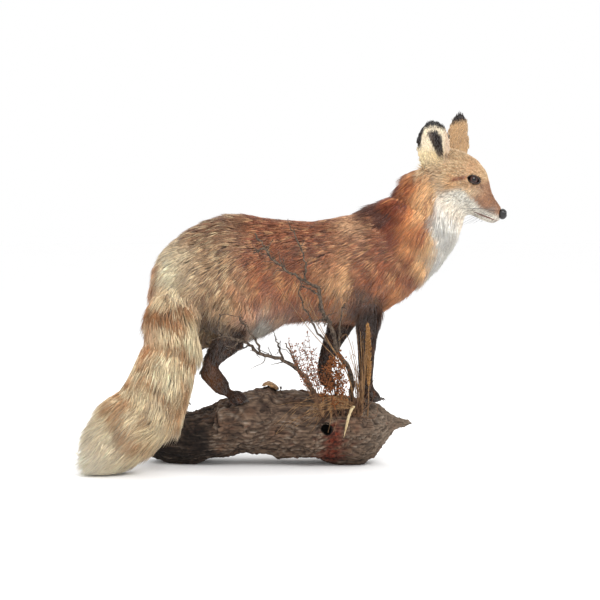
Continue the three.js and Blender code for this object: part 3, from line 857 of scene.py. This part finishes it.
# Guard hair: the markings on each lock, matt with a soft sheen along the strands.
guard_hair, _, shader, _ = marked("fox_guard_hair", 300.0, 0.82, 1.2)
set_inputs(shader, Roughness=0.62, Specular_IOR_Level=0.3, Sheen_Weight=0.25, Sheen_Roughness=0.5)

face_share = share[triangles].mean(1)
face_part = face_share.argmax(1)
face_middle = skin_points[triangles].mean(1)


def faces_of(*names):
    """Which of the skin's triangles lie on the named parts."""
    return np.isin(face_part, [FLESH.index(n) for n in names])


right = face_middle[:, 1] < 0
legs = [n for n in FLESH if n.startswith(("fore", "hind"))]
face_skin = faces_of("head") & (eye_open[triangles].max(1) < 0.5)
tail_skin = faces_of("tail_base", "tail_middle", "tail_tip")
coat("coat_trunk_right", faces_of("trunk") & right, 19000, 10, 0.35, 101)
coat("coat_trunk_left", faces_of("trunk") & ~right, 14500, 10, 0.35, 202)
coat("coat_neck", faces_of("neck"), 19000, 10, 0.35, 303)
coat("coat_tail", tail_skin, 17000, 14, 0.5, 404)
coat("coat_head", face_skin, 15000, 7, 0.2, 505)
coat("coat_ears", faces_of("ear_right", "ear_left"), 5000, 7, 0.2, 606)
coat("coat_legs", faces_of(*legs), 13500, 9, 0.35, 707)

# ---------------------------------------------------------------------------------------------
# Glass eyes. Hollow glass domes are set in the manikin with painted irises of dark amber and a
# black pupil, and the skin is drawn round them in dark almond lids.
from mathutils.bvhtree import BVHTree

EYE_RINGS = 20
bare_skin = BVHTree.FromObject(skin, bpy.context.evaluated_depsgraph_get())


def head_point(x, z, across):
    """A place given in the head's middle plane by x and z, then out along its side."""
    run = (nose_place[0] - x) / head_ahead[0]
    middle = nose_place - head_ahead * run
    place = np.array([middle[0], middle[1], z]) + head_side * across
    return Vector(place / 1000 + np.array(zero))


def on_face(x, z, side, out=0.0):
    """Where a line from the side meets the bare skin of the face, and the skin's normal there."""
    start = head_point(x, z, side * 120)
    hit, normal, _, _ = bare_skin.ray_cast(start, Vector(-side * head_side))
    if hit is None:
        hit, normal, _, _ = bare_skin.find_nearest(head_point(x, z, side * 5))
    return hit + normal * out / 1000, normal


def stems(name, lines, material, sides=2):
    """Round tapering stems as one closed mesh. A line is a list of (place, radius in mm)."""
    curve = bpy.data.curves.new(name, "CURVE")
    curve.dimensions = "3D"
    curve.bevel_depth = 0.001
    curve.bevel_resolution = sides
    curve.use_fill_caps = True
    for line in lines:
        spline = curve.splines.new("POLY")
        spline.points.add(len(line) - 1)
        for point, (place, radius) in zip(spline.points, line):
            point.co = (*place, 1)
            point.radius = radius
    drawn = bpy.data.objects.new(name + "_line", curve)
    bpy.context.collection.objects.link(drawn)
    graph = bpy.context.evaluated_depsgraph_get()
    mesh = bpy.data.meshes.new_from_object(drawn.evaluated_get(graph))
    bpy.data.objects.remove(drawn)
    smooth(mesh)
    mesh.name = name
    mesh.materials.clear()
    mesh.materials.append(material)
    piece = add_object(name, mesh)
    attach(piece, "root")
    return piece


def smooth_line(points, pieces, wobble=0.0, seed=0):
    """More points along a bent line, as places of the frame, with a little natural wobble."""
    points = np.array(points, dtype=float)
    source = np.random.default_rng(seed)
    padded = np.concatenate([[2 * points[0] - points[1]], points, [2 * points[-1] - points[-2]]])
    line = []
    for i in range(len(points) - 1):
        p0, p1, p2, p3 = padded[i : i + 4]
        for t in np.arange(pieces) / pieces:
            curve = 2 * p1 + (p2 - p0) * t + (2 * p0 - 5 * p1 + 4 * p2 - p3) * t**2
            line.append((curve + (3 * p1 - p0 - 3 * p2 + p3) * t**3) / 2)
    line.append(points[-1])
    line = np.array(line)
    line[1:-1] += source.normal(size=line[1:-1].shape) * wobble
    return [Vector(p / 1000 + np.array(zero)) for p in line]


# Blown glass over a painted iris: dark amber under a clear dome that catches a small highlight.
glass_eye, node_tree, shader = new_material("glass_eye_amber")
where = add_node(node_tree, "ShaderNodeVertexColor", layer_name="iris")
node_tree.links.new(where.outputs["Color"], shader.inputs["Base Color"])
set_inputs(
    shader,
    Roughness=0.3,
    Specular_IOR_Level=0.1,
    Coat_Weight=1.0,
    Coat_Roughness=0.02,
    Coat_IOR=1.42,
)


def mottled(name, dark, light, scale, rough):
    """A material that wanders between two tones, scale times in a metre, for bare skin and horn."""
    material, node_tree, shader = new_material(name)
    where = add_node(node_tree, "ShaderNodeTexCoord")
    patches = add_node(
        node_tree, "ShaderNodeTexNoise", [("Vector", where.outputs["Object"])], Scale=scale
    )
    tone = add_node(
        node_tree, "ShaderNodeMix", [("Factor", patches.outputs["Fac"])], data_type="RGBA"
    )
    tone.inputs[6].default_value = linear(dark)
    tone.inputs[7].default_value = linear(light)
    node_tree.links.new(tone.outputs[2], shader.inputs["Base Color"])
    set_inputs(shader, Roughness=rough)
    return material


# Bare skin of the lids: nearly black and finely creased at about 1 mm, with a dull shine.
lid_skin = mottled("eyelid_skin", "17100d", "33231c", 900.0, 0.45)

for node, eye in EYES.items():
    low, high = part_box(node)
    middle = (low + high) / 2
    radius = (high.z - low.z) / 2
    turn = Vector(eye["look"]).to_track_quat("Z", "Y").to_matrix().to_4x4()
    eye_ball = bmesh.new()
    bmesh.ops.create_uvsphere(eye_ball, u_segments=40, v_segments=EYE_RINGS * 2, radius=radius * 0.99)
    bmesh.ops.transform(eye_ball, matrix=Matrix.Translation(middle) @ turn, verts=eye_ball.verts)
    eye_mesh = bpy.data.meshes.new("glass_" + node)
    eye_ball.to_mesh(eye_mesh)
    eye_ball.free()
    gaze = (read_points(eye_mesh) - np.array(middle)) / radius
    off = np.degrees(np.arccos(np.clip(gaze @ eye["look"], -1, 1)))
    iris = painted(
        all_over("050303", off),
        ("2e120a", ramp(off, 20, 30)),
        ("3f1a0d", ramp(off, 30, 40) * 0.7),
        ("0a0605", ramp(off, 44, 54)),
    )
    layer = eye_mesh.color_attributes.new("iris", "FLOAT_COLOR", "POINT")
    layer.data.foreach_set("color", np.concatenate([iris, np.ones((len(off), 1))], 1).ravel())
    smooth(eye_mesh)
    eye_mesh.materials.append(glass_eye)
    eye_piece = add_object("glass_" + node, eye_mesh)
    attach(eye_piece, "root")
    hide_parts(node)
    lid = []
    for k in range(49):
        angle = 2 * math.pi * k / 48
        u = math.copysign(abs(math.cos(angle)) ** 0.9, math.cos(angle)) * LID_LONG
        v = math.copysign(abs(math.sin(angle)) ** 1.25, math.sin(angle)) * LID_TALL
        lift = math.sqrt(max((radius * 1000 + 0.6) ** 2 - u * u - v * v, 12.0))
        place = eye["place"] + eye["front"] * u + eye["top"] * v + eye["look"] * lift
        lid.append((Vector(place / 1000 + np.array(zero)), 2.0 - 0.5 * math.sin(angle) ** 2))
    stems("lids_" + node, [lid], lid_skin)

# Nose leather: bare pebbled skin, lacquered so that it looks wet, with two comma nostrils.
nose_shape = bmesh.new()
bmesh.ops.create_uvsphere(nose_shape, u_segments=56, v_segments=36, radius=1.0)
nose_middle = (nose_low + nose_high) / 2
nose_half = (nose_high - nose_low) / 2
ahead_v = Vector(head_ahead)
side_v = Vector(head_side)
for vert in nose_shape.verts:
    across, forth, height = vert.co.x, vert.co.y, vert.co.z
    pad = Vector((across * nose_half.y * 0.98, forth * nose_half.x * 0.9, height * nose_half.z * 1.02))
    pad.x *= 1 + 0.12 * height
    groove = math.exp(-((across / 0.1) ** 2)) * max(0, forth) * 0.0012
    for nostril in (-1, 1):
        gap = math.hypot((across - nostril * 0.48) / 0.26, (height + 0.02 - 0.2 * abs(across)) / 0.2)
        groove += math.exp(-(gap**2)) * (0.0042 if forth > 0 else 0)
    pad.y -= groove
    vert.co = nose_middle + side_v * pad.x + ahead_v * pad.y + Vector((0, 0, pad.z))
nose_mesh = bpy.data.meshes.new("nose_leather")
nose_shape.to_mesh(nose_mesh)
nose_shape.free()
smooth(nose_mesh)
# Nose leather: black, with pebbles of about 1 mm and a soft gloss, as if it were damp.
nose_skin, node_tree, shader = new_material("nose_leather")
where = add_node(node_tree, "ShaderNodeTexCoord")
pebbles = add_node(
    node_tree, "ShaderNodeTexVoronoi", [("Vector", where.outputs["Object"])], Scale=900.0
)
tone = add_node(
    node_tree, "ShaderNodeMix", [("Factor", pebbles.outputs["Distance"])], data_type="RGBA"
)
tone.inputs[6].default_value = linear("1a1615")
tone.inputs[7].default_value = linear("080707")
node_tree.links.new(tone.outputs[2], shader.inputs["Base Color"])
grain = add_node(
    node_tree,
    "ShaderNodeBump",
    [("Height", pebbles.outputs["Distance"])],
    Strength=0.4,
    Distance=0.0005,
)
grain.invert = True
node_tree.links.new(grain.outputs[0], shader.inputs["Normal"])
set_inputs(shader, Roughness=0.3, Specular_IOR_Level=0.3, Coat_Weight=0.6, Coat_Roughness=0.1)
nose_mesh.materials.append(nose_skin)
nose_piece = add_object("nose_leather", nose_mesh)
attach(nose_piece, "root")
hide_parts("nose")

# Lips: the closed mouth shows as a line of bare pinkish-brown lip, from under the nose to the cheek.
MOUTH = [(402, 487), (395, 489.5), (386, 493), (377, 496.5), (369, 500), (361, 504), (355, 509)]
lip_skin = mottled("bare_lip_skin", "4a2a24", "8a5a4c", 600.0, 0.5)
lips = []
for side in (-1, 1):
    line = [on_face(x, z, side, 0.35)[0] for x, z in MOUTH]
    thick = [1.1, 1.3, 1.5, 1.6, 1.6, 1.3, 0.5]
    lips.append(list(zip(line, thick)))
stems("lips", lips, lip_skin)

# Whiskers: stiff black hairs in rows on each side of the muzzle, swept back and down.
whisker_source = np.random.default_rng(31)
whisker_hair, _, shader = new_material("whisker_hair")
set_inputs(shader, Base_Color=linear("2a221f"), Roughness=0.35)
whiskers = []
for side in (-1, 1):
    for row in range(3):
        for k in range(4):
            x = 396 - 5.5 * k + 2 * row
            z = 496 + 5 * row + 1.6 * k
            root, normal = on_face(x, z, side, -0.5)
            length = (26 + 10 * k + 5 * row) * whisker_source.uniform(0.8, 1.15) / 1000
            out = Vector(head_side * side) * 0.75 - ahead_v * 0.6 + normal * 0.3
            drop = Vector((0, 0, -0.35 + 0.16 * row))
            mid = root + (out + drop * 0.4) * length * 0.5
            end = root + (out * 0.85 - ahead_v * 0.35 + drop) * length
            whiskers.append([(root, 0.34), (mid, 0.26), (end, 0.1)])
stems("whiskers", whiskers, whisker_hair, sides=1)

# Claws: horn sheaths that stand out of the fur in front of each toe.
claw_horn = mottled("claw_horn", "1c1512", "4a3a2e", 500.0, 0.35)
claws = []
for paw in ("forepaw_right", "forepaw_left", "hindfoot_right", "hindfoot_left"):
    low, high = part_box(paw)
    middle_y = (low.y + high.y) / 2
    for toe in (-1.5, -0.5, 0.5, 1.5):
        front = high.x - 0.003 - 0.0035 * abs(toe)
        root = Vector((front, middle_y + toe * 0.0085, low.z + 0.009))
        bend = root + Vector((0.006, 0, 0.0005))
        claws.append([(root, 1.7), (bend, 1.3), (bend + Vector((0.0045, 0, -0.004)), 0.25)])
stems("claws", claws, claw_horn)

# ---------------------------------------------------------------------------------------------
# Driftwood log. Old grey wood whose bark has gone: long fibres and cracks run along it, its left
# end is dark, darkest low down, and a hole in its near side shows rotten red-brown wood.
def fine_copy(node, grain):
    """A frame node's own shape with even faces of one size, ready to be carved."""
    piece = merged_copy(node)
    mesh = bpy.data.meshes.new(node)
    piece.to_mesh(mesh)
    piece.free()
    made = add_object(node + "_carved", mesh)
    even_faces = made.modifiers.new("even_faces", "REMESH")
    even_faces.mode = "VOXEL"
    even_faces.voxel_size = grain / 1000
    mesh = applied(made)
    mesh.name = made.name
    smooth(mesh)
    return made, mesh


def fibres(points, length, across, seed):
    """Noise drawn out along X, as the fibres of a weathered log run."""
    return waves(points * np.array([across / length, 1, 1]), across, seed, 9)


def wood_material(name, fibre_scale, rough):
    """Weathered wood: the painted markings, broken up by fine dark fibres along the log."""
    material, tree, wood_shader = new_material(name)
    colour_in = add_node(tree, "ShaderNodeVertexColor", layer_name="markings")
    place = add_node(tree, "ShaderNodeTexCoord")
    drawn = add_node(
        tree, "ShaderNodeMapping", [("Vector", place.outputs["Object"])], Scale=(0.09, 1, 1)
    )
    fibre = add_node(
        tree, "ShaderNodeTexNoise", [("Vector", drawn.outputs[0])], Scale=fibre_scale, Detail=5.0
    )
    level = add_node(
        tree,
        "ShaderNodeMapRange",
        [("Value", fibre.outputs["Fac"])],
        From_Min=0.32,
        From_Max=0.68,
        To_Min=0.45,
        To_Max=1.35,
    )
    toned = add_node(
        tree,
        "ShaderNodeVectorMath",
        [("Vector", colour_in.outputs["Color"]), ("Scale", level.outputs["Result"])],
        operation="SCALE",
    )
    tree.links.new(toned.outputs[0], wood_shader.inputs["Base Color"])
    raised = add_node(
        tree, "ShaderNodeBump", [("Height", fibre.outputs["Fac"])], Strength=0.9, Distance=0.0015
    )
    tree.links.new(raised.outputs[0], wood_shader.inputs["Normal"])
    set_inputs(wood_shader, Roughness=rough, Specular_IOR_Level=0.25)
    return material


LOG_GRAIN = 2.3
log_piece, log_mesh = fine_copy("driftwood_log", LOG_GRAIN)
log_frame = read_points(log_mesh)
log_out = read_normals(log_mesh)
log_points = fox_mm(log_frame)
warp = waves(log_points, 70, 51) * 16
bent = log_points + np.stack([warp * 0, warp, warp], axis=1)
crack = np.abs(fibres(bent, 190, 26, 52))
crack_cut = ramp(-crack, -0.13, -0.02)
ridges = fibres(bent, 120, 11, 53)
fine_ridges = fibres(bent, 60, 5, 54)
ragged = waves(log_points, 44, 55) * 26 + waves(log_points, 12, 62) * 12
dark_end = ramp(-log_points[:, 0] + ragged - 0.5 * log_points[:, 2], 70, 200)
near_side = ramp(-log_points[:, 1], -20, 10)
hole = spot(log_points, 80, 60, 23, 46) * 1.2 + spot(log_points, 62, 12, 34, 14) * 1.2
rot = np.clip(hole + waves(log_points, 14, 56) * 0.25 - 0.35, 0, 1) * near_side
blocky = waves(log_points, 9, 57)
lumps = waves(log_points, 34, 59)
scales = waves(log_points, 12, 60)
carve = 2.8 * crack_cut + 0.9 * (1 - ridges) + 0.5 * (1 - fine_ridges) + 1.5 * (1 - lumps)
carve += 0.8 * (1 - scales) + rot * (2.5 + 1.5 * blocky)
carve = np.clip(carve, 0, 8.5) * ramp(log_points[:, 2], 1.0, 7.0)
log_frame -= log_out * carve[:, None] / 1000
set_points(log_mesh, log_frame)
# The knot hole's inside is painted near black: painted shade for its depth.
knot_hole_shade = spot(log_points, 67, 78, 12, 11) * near_side
bark = painted(
    all_over("665344", log_points),
    ("85776a", ramp(ridges, 0.3, 1.3) * 0.7),
    ("3e2f27", ramp(-ridges, 0.1, 1.1) * 0.8),
    ("5f4636", ramp(waves(log_points, 45, 58), 0.3, 1.2) * 0.7),
    ("3c302a", ramp(-scales, 0.2, 1.2) * 0.6),
    ("8d8070", ramp(log_points[:, 0], 110, 200) * 0.35),
    ("2a201b", crack_cut * 0.8),
    ("6e3020", rot),
    ("2c1510", rot * ramp(-blocky, -0.2, 0.7)),
    ("120d0b", ramp(knot_hole_shade, 0.3, 0.6)),
    ("191412", dark_end * (0.93 - 0.3 * ramp(ridges, 0.5, 1.3))),
    # painted shade along the foot of the log, where it meets the floor
    ("3b322b", ramp(-log_points[:, 2], -16, -2) * 0.5),
)
paint(log_mesh, bark)
log_mesh.materials.clear()
log_mesh.materials.append(wood_material("weathered_driftwood", 260.0, 0.85))
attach(log_piece, "root")
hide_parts("driftwood_log")

# The broken bark chip: a tan splinter with torn layers.
chip_piece, chip_mesh = fine_copy("bark_chip", 1.1)
chip_frame = read_points(chip_mesh)
chip_points = fox_mm(chip_frame)
layers = waves(chip_points * np.array([0.3, 0.5, 1.6]), 7, 61, 9)
chip_frame -= read_normals(chip_mesh) * np.clip(0.8 - layers * 0.9, 0, 2)[:, None] / 1000
set_points(chip_mesh, chip_frame)
chip_tone = painted(
    all_over("a5825c", chip_points),
    ("6a4c36", ramp(layers, 0.1, 1.0) * 0.8),
    ("c7a57a", ramp(-layers, 0.3, 1.2) * 0.6),
)
paint(chip_mesh, chip_tone)
chip_mesh.materials.clear()
chip_mesh.materials.append(wood_material("broken_bark", 420.0, 0.8))
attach(chip_piece, "root")
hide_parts("bark_chip")

# ---------------------------------------------------------------------------------------------
# Dry branches. Two gnarled stems with crooked side twigs that fork again into fine ends. They rise
# from the log and pass in front of the belly on the near side.
def speckled(name, dark, light, scale, rough, stretch=1.0):
    """A two-tone material whose specks can be drawn out upwards, for bark, straw and seed."""
    material, tree, plain = new_material(name)
    place = add_node(tree, "ShaderNodeTexCoord")
    drawn = add_node(
        tree, "ShaderNodeMapping", [("Vector", place.outputs["Object"])], Scale=(1, 1, stretch)
    )
    specks = add_node(
        tree, "ShaderNodeTexNoise", [("Vector", drawn.outputs[0])], Scale=scale, Detail=3.0
    )
    spread = add_node(
        tree,
        "ShaderNodeMapRange",
        [("Value", specks.outputs["Fac"])],
        From_Min=0.35,
        From_Max=0.65,
    )
    tone = add_node(tree, "ShaderNodeMix", [("Factor", spread.outputs["Result"])], data_type="RGBA")
    tone.inputs[6].default_value = linear(dark)
    tone.inputs[7].default_value = linear(light)
    tree.links.new(tone.outputs[2], plain.inputs["Base Color"])
    raised = add_node(
        tree, "ShaderNodeBump", [("Height", specks.outputs["Fac"])], Strength=0.6, Distance=0.0006
    )
    tree.links.new(raised.outputs[0], plain.inputs["Normal"])
    set_inputs(plain, Roughness=rough, Specular_IOR_Level=0.25)
    return material


twig_source = np.random.default_rng(41)


def gnarled(points, thick, thin, pieces=6, wobble=1.3):
    """A crooked stem through the given places, with small knots along it."""
    line = smooth_line(points, pieces, wobble, int(twig_source.integers(1e6)))
    share_along = np.linspace(0, 1, len(line))
    radius = thick + (thin - thick) * share_along
    radius *= 1 + 0.22 * np.abs(twig_source.normal(size=len(line))) * (share_along > 0.02)
    return list(zip(line, radius))


def side_twigs(line, wanted, reach, thick, start=0.25):
    """Short twigs that leave a stem at random places, crook once and lean the way it grows."""
    made = []
    for _ in range(wanted):
        at = int(len(line) * twig_source.uniform(start, 0.98))
        at = min(max(at, 1), len(line) - 1)
        place = fox_mm([line[at][0]])[0]
        heading = place - fox_mm([line[at - 1][0]])[0]
        heading /= max(np.linalg.norm(heading), 1e-6)
        out = twig_source.normal(size=3) * np.array([1, 0.45, 1])
        out = out / np.linalg.norm(out) + heading * 0.55
        length = reach * twig_source.uniform(0.35, 1.0)
        knee = place + out * length * 0.5
        crook = twig_source.normal(size=3) * np.array([0.5, 0.25, 0.5])
        tip = knee + (out * 0.5 + crook) * length * 0.5
        tip[1] = min(tip[1], place[1] + 4)
        made.append(gnarled([place, knee, tip], thick, 0.4, 3, 0.7))
    return made


BRANCH_LEFT = [
    [(44, -4, 128), (33, -20, 160), (13, -30, 187), (-21, -42, 212), (-63, -56, 225), (-90, -72, 247)]
    + [(-118, -90, 258), (-141, -96, 266), (-147, -98, 278), (-142, -102, 306)],
    [(-108, -83, 254), (-113, -95, 245), (-125, -99, 238)],
    [(-63, -56, 225), (-69, -80, 248), (-90, -98, 277), (-103, -104, 296), (-101, -108, 306)],
    [(-21, -42, 212), (-29, -56, 238), (-37, -70, 263)],
    [(13, -30, 187), (-2, -48, 222), (-16, -62, 246)],
]
BRANCH_MAIN = [
    [(118, -40, 112), (112, -70, 185), (89, -80, 228), (72, -90, 281), (55, -98, 314), (48, -104, 354)]
    + [(21, -105, 371), (-16, -105, 393), (-42, -105, 415), (-56, -105, 436), (-74, -105, 462)],
    [(21, -105, 371), (24, -108, 398), (13, -107, 437), (-6, -106, 476)],
    [(89, -80, 228), (52, -92, 264), (30, -98, 303), (12, -106, 344), (19, -113, 368)],
    [(88, -81, 232), (92, -98, 303), (100, -106, 328)],
    [(64, -94, 298), (50, -102, 294), (32, -108, 291)],
    [(50, -101, 340), (34, -111, 352), (18, -117, 361)],
    [(-55, -105, 434), (-66, -106, 429), (-78, -106, 424)],
]
twig_bark = speckled("dry_twig_bark", "2e2622", "6f6052", 260.0, 0.85)
BRANCH_THICK = 4.6
for node, lines, twigs in (("branch_left", BRANCH_LEFT, 16), ("branch_main", BRANCH_MAIN, 22)):
    trunk_line = gnarled(lines[0], BRANCH_THICK, 1.1)
    forks = [gnarled(line, 2.1, 0.8) for line in lines[1:]]
    finer = side_twigs(trunk_line, twigs, 34, 0.9)
    for fork in forks:
        finer += side_twigs(fork, 5, 20, 0.7)
    branch_piece = stems(node + "_bark", [trunk_line, *forks, *finer], twig_bark)
    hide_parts(node)


# ---------------------------------------------------------------------------------------------
# Dry plants. Grass, seed sprays, a bush of rusty flowers, a tall seed spike and a split reed are
# set into the log on its near side, between the two fore feet and the belly.
def grains(name, places, ways, longs, wides, material):
    """Many small seeds or florets as one mesh: drawn-out balls of a few faces, each set its own way."""
    shape = bmesh.new()
    bmesh.ops.create_icosphere(shape, subdivisions=1, radius=1.0)
    ball_corners = np.array([v.co[:] for v in shape.verts])
    shape_faces = np.array([[v.index for v in f.verts] for f in shape.faces])
    shape.free()
    places, ways = np.array(places, dtype=float), np.array(ways, dtype=float)
    ways /= np.linalg.norm(ways, axis=1)[:, None]
    aside = np.cross(ways, np.array([0.3, 1.0, 0.2]))
    aside /= np.linalg.norm(aside, axis=1)[:, None]
    other = np.cross(ways, aside)
    longs, wides = np.array(longs)[:, None, None], np.array(wides)[:, None, None]
    points = (
        ways[:, None, :] * ball_corners[None, :, 2:3] * longs
        + aside[:, None, :] * ball_corners[None, :, 0:1] * wides
        + other[:, None, :] * ball_corners[None, :, 1:2] * wides
        + places[:, None, :]
    )
    mesh = bpy.data.meshes.new(name)
    first_corner = np.arange(len(places)) * len(ball_corners)
    faces = (shape_faces[None] + first_corner[:, None, None]).reshape(-1, 3)
    mesh.from_pydata((points.reshape(-1, 3) / 1000 + np.array(zero)).tolist(), [], faces.tolist())
    smooth(mesh)
    mesh.materials.append(material)
    piece = add_object(name, mesh)
    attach(piece, "root")
    return piece


plant_source = np.random.default_rng(43)
straw_skin = speckled("dry_straw", "5e4430", "a07c55", 180.0, 0.75, 0.12)
rust_stem = speckled("rusty_stem", "4c3629", "7d5c44", 220.0, 0.8, 0.2)
rust_seed = speckled("rusty_seed", "5f3626", "a0694c", 500.0, 0.8)
rust_flower = speckled("rusty_flower", "5a3320", "9c6238", 420.0, 0.85)
spike_seed = speckled("tan_seed", "6a482c", "b08450", 420.0, 0.8)


def blade(points, thick, pieces=5, wobble=0.3):
    """One stem of grass that tapers to its tip."""
    line = smooth_line(points, pieces, wobble, int(plant_source.integers(1e6)))
    return list(zip(line, np.linspace(thick, thick * 0.35, len(line))))


grass_lines = []
for k in range(30):
    fan = plant_source.uniform(-1, 1)
    tall = plant_source.uniform(60, 168)
    y = plant_source.uniform(-1, 1)
    knee = (131 + 9 * fan, -82 + 8 * y, 112 + tall * 0.55)
    bend = (129 + 20 * fan - 4, -90 + 14 * y, 112 + tall)
    path = [(132 + 3 * fan, -64, 104), knee, bend]
    if k % 4 == 0:
        path.append((bend[0] + 12 * fan - 6, bend[1] - 4, bend[2] - 9))
    grass_lines.append(blade(path, plant_source.uniform(0.7, 1.15)))
for k in range(30):
    drop = plant_source.uniform(0, 1)
    rise_z = 134 + 8 * plant_source.uniform(-1, 1)
    end = (-38 + 118 * drop, -106 + 5 * drop, 70 + 62 * plant_source.uniform(0, 1))
    knee = 0.5 * end[0] + 52 + 14 * plant_source.normal()
    over = (knee, -99, rise_z + 6 * plant_source.normal())
    path = [(124, -66, 106), (108, -88, rise_z - 6), over, end]
    grass_lines.append(blade(path, plant_source.uniform(0.5, 1.0)))
for top in ((-10, -112, 392), (-34, -114, 366), (20, -112, 352)):
    path = [(122, -60, 104), (104, -90, 190), ((top[0] + 104) / 2, -104, (top[2] + 190) / 2 - 6), top]
    grass_lines.append(blade(path, 1.1, 8))
grass_piece = stems("dry_grass_blades", grass_lines, straw_skin)
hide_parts("dry_grass")

# Seed sprays: fine red-brown stalks with a seed at every short step of their upper part.
spray_lines, seed_places, seed_ways = [], [], []
for k in range(11):
    tall = plant_source.uniform(52, 150)
    tip = np.array([42 - 5.2 * k + plant_source.uniform(-4, 4), -97 - 1.6 * k, 138 + tall])
    knee = np.array([54 - 3.2 * k, -90, 146 + tall * 0.2])
    path = blade([(60, -74, 100), knee, tip], 1.0, 8)
    spray_lines.append(path)
    for at in range(len(path) // 2, len(path)):
        middle = fox_mm([path[at][0]])[0]
        for _ in range(4):
            out = plant_source.normal(size=3) * np.array([1, 0.6, 0.7]) + np.array([0, 0, 0.8])
            out /= np.linalg.norm(out)
            reach = plant_source.uniform(3, 9)
            seed_places.append(middle + out * reach)
            seed_ways.append(out)
            spray_lines.append([(path[at][0], 0.35), (path[at][0] + Vector(out * reach / 1000), 0.25)])
spray_piece = stems("seed_spray_stalks", spray_lines, rust_stem, sides=1)
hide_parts("seed_sprays")
sizes = plant_source.uniform(1.1, 2.2, len(seed_places))
grains("seed_spray_seeds", seed_places, seed_ways, sizes, sizes * 0.7, rust_seed)

# Rusty flowers: a bush of side stalks, each closed in by small dry florets.
flower_lines, floret_places, floret_ways = [], [], []
for k in range(15):
    height = k / 14
    swing = 21 * math.sin(k * 2.4) * (1 - 0.45 * height)
    middle = np.array([80 + swing, -92 - 6 * math.cos(k * 2.4), 136 + 84 * height])
    path = [(84, -70, 104), (82 + 0.3 * swing, -86, 118 + 40 * height), middle]
    flower_lines.append(blade(path, 1.2, 5))
    for _ in range(64):
        out = plant_source.normal(size=3) * np.array([1, 0.8, 1.1])
        floret_places.append(middle + out * 5.6)
        floret_ways.append(out + np.array([0, 0, 0.6]))
for k in range(34):
    foot = np.array([plant_source.uniform(70, 128), -68 + plant_source.uniform(-6, 6), 103])
    top = foot + np.array([plant_source.normal() * 16, -22 + plant_source.normal() * 6, 0])
    top[2] = 132 + plant_source.uniform(0, 92)
    knee = (foot + top) / 2 + np.array([plant_source.normal() * 8, -8, plant_source.normal() * 6])
    flower_lines.append(blade([foot, knee, top], plant_source.uniform(0.6, 1.1), 4))
flower_piece = stems("rusty_flower_stalks", flower_lines, rust_stem)
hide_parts("rusty_flowers")
sizes = plant_source.uniform(1.3, 2.7, len(floret_places))
grains("rusty_florets", floret_places, floret_ways, sizes, sizes * 0.6, rust_flower)

# Seed spike: a tall stalk with grains packed round it that point up and out.
spike_path = [(146, -50, 98), (147, -78, 146), (147, -86, 190), (146, -89, 245), (144, -90, 290)]
spike_line = blade(spike_path, 1.5, 12)
spike_piece = stems("seed_spike_stalk", [spike_line], straw_skin)
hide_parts("seed_spike")
spike_mm = fox_mm([p for p, _ in spike_line])
spike_steps = np.arange(len(spike_mm))
grain_places, grain_ways = [], []
for k in range(460):
    at = 0.36 + 0.62 * k / 460
    middle = np.array([np.interp(at * spike_steps[-1], spike_steps, spike_mm[:, a]) for a in range(3)])
    turned = k * 2.4
    out = np.array([math.cos(turned), math.sin(turned), 0])
    full = 6.2 * math.sin(math.pi * min(1, max(0.03, (at - 0.34) / 0.66))) ** 0.6
    grain_places.append(middle + out * full * plant_source.uniform(0.3, 0.9))
    grain_ways.append(out + np.array([0, 0, 1.6]))
sizes = plant_source.uniform(2.2, 3.6, len(grain_places))
grains("seed_spike_grains", grain_places, grain_ways, sizes, sizes * 0.34, spike_seed)

# Split reed: a flat dry leaf that hangs down the near side of the log, torn along its veins.
reed_piece, reed_mesh = fine_copy("split_reed", 0.9)
reed_frame = read_points(reed_mesh)
veins = waves(fox_mm(reed_frame) * np.array([1, 1, 0.15]), 3, 71, 9)
reed_frame -= read_normals(reed_mesh) * np.clip(0.5 - veins * 0.5, 0, 1.2)[:, None] / 1000
set_points(reed_mesh, reed_frame)
reed_mesh.materials.clear()
reed_mesh.materials.append(speckled("pale_reed", "a98f66", "dccba4", 300.0, 0.7, 0.1))
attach(reed_piece, "root")
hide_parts("split_reed")
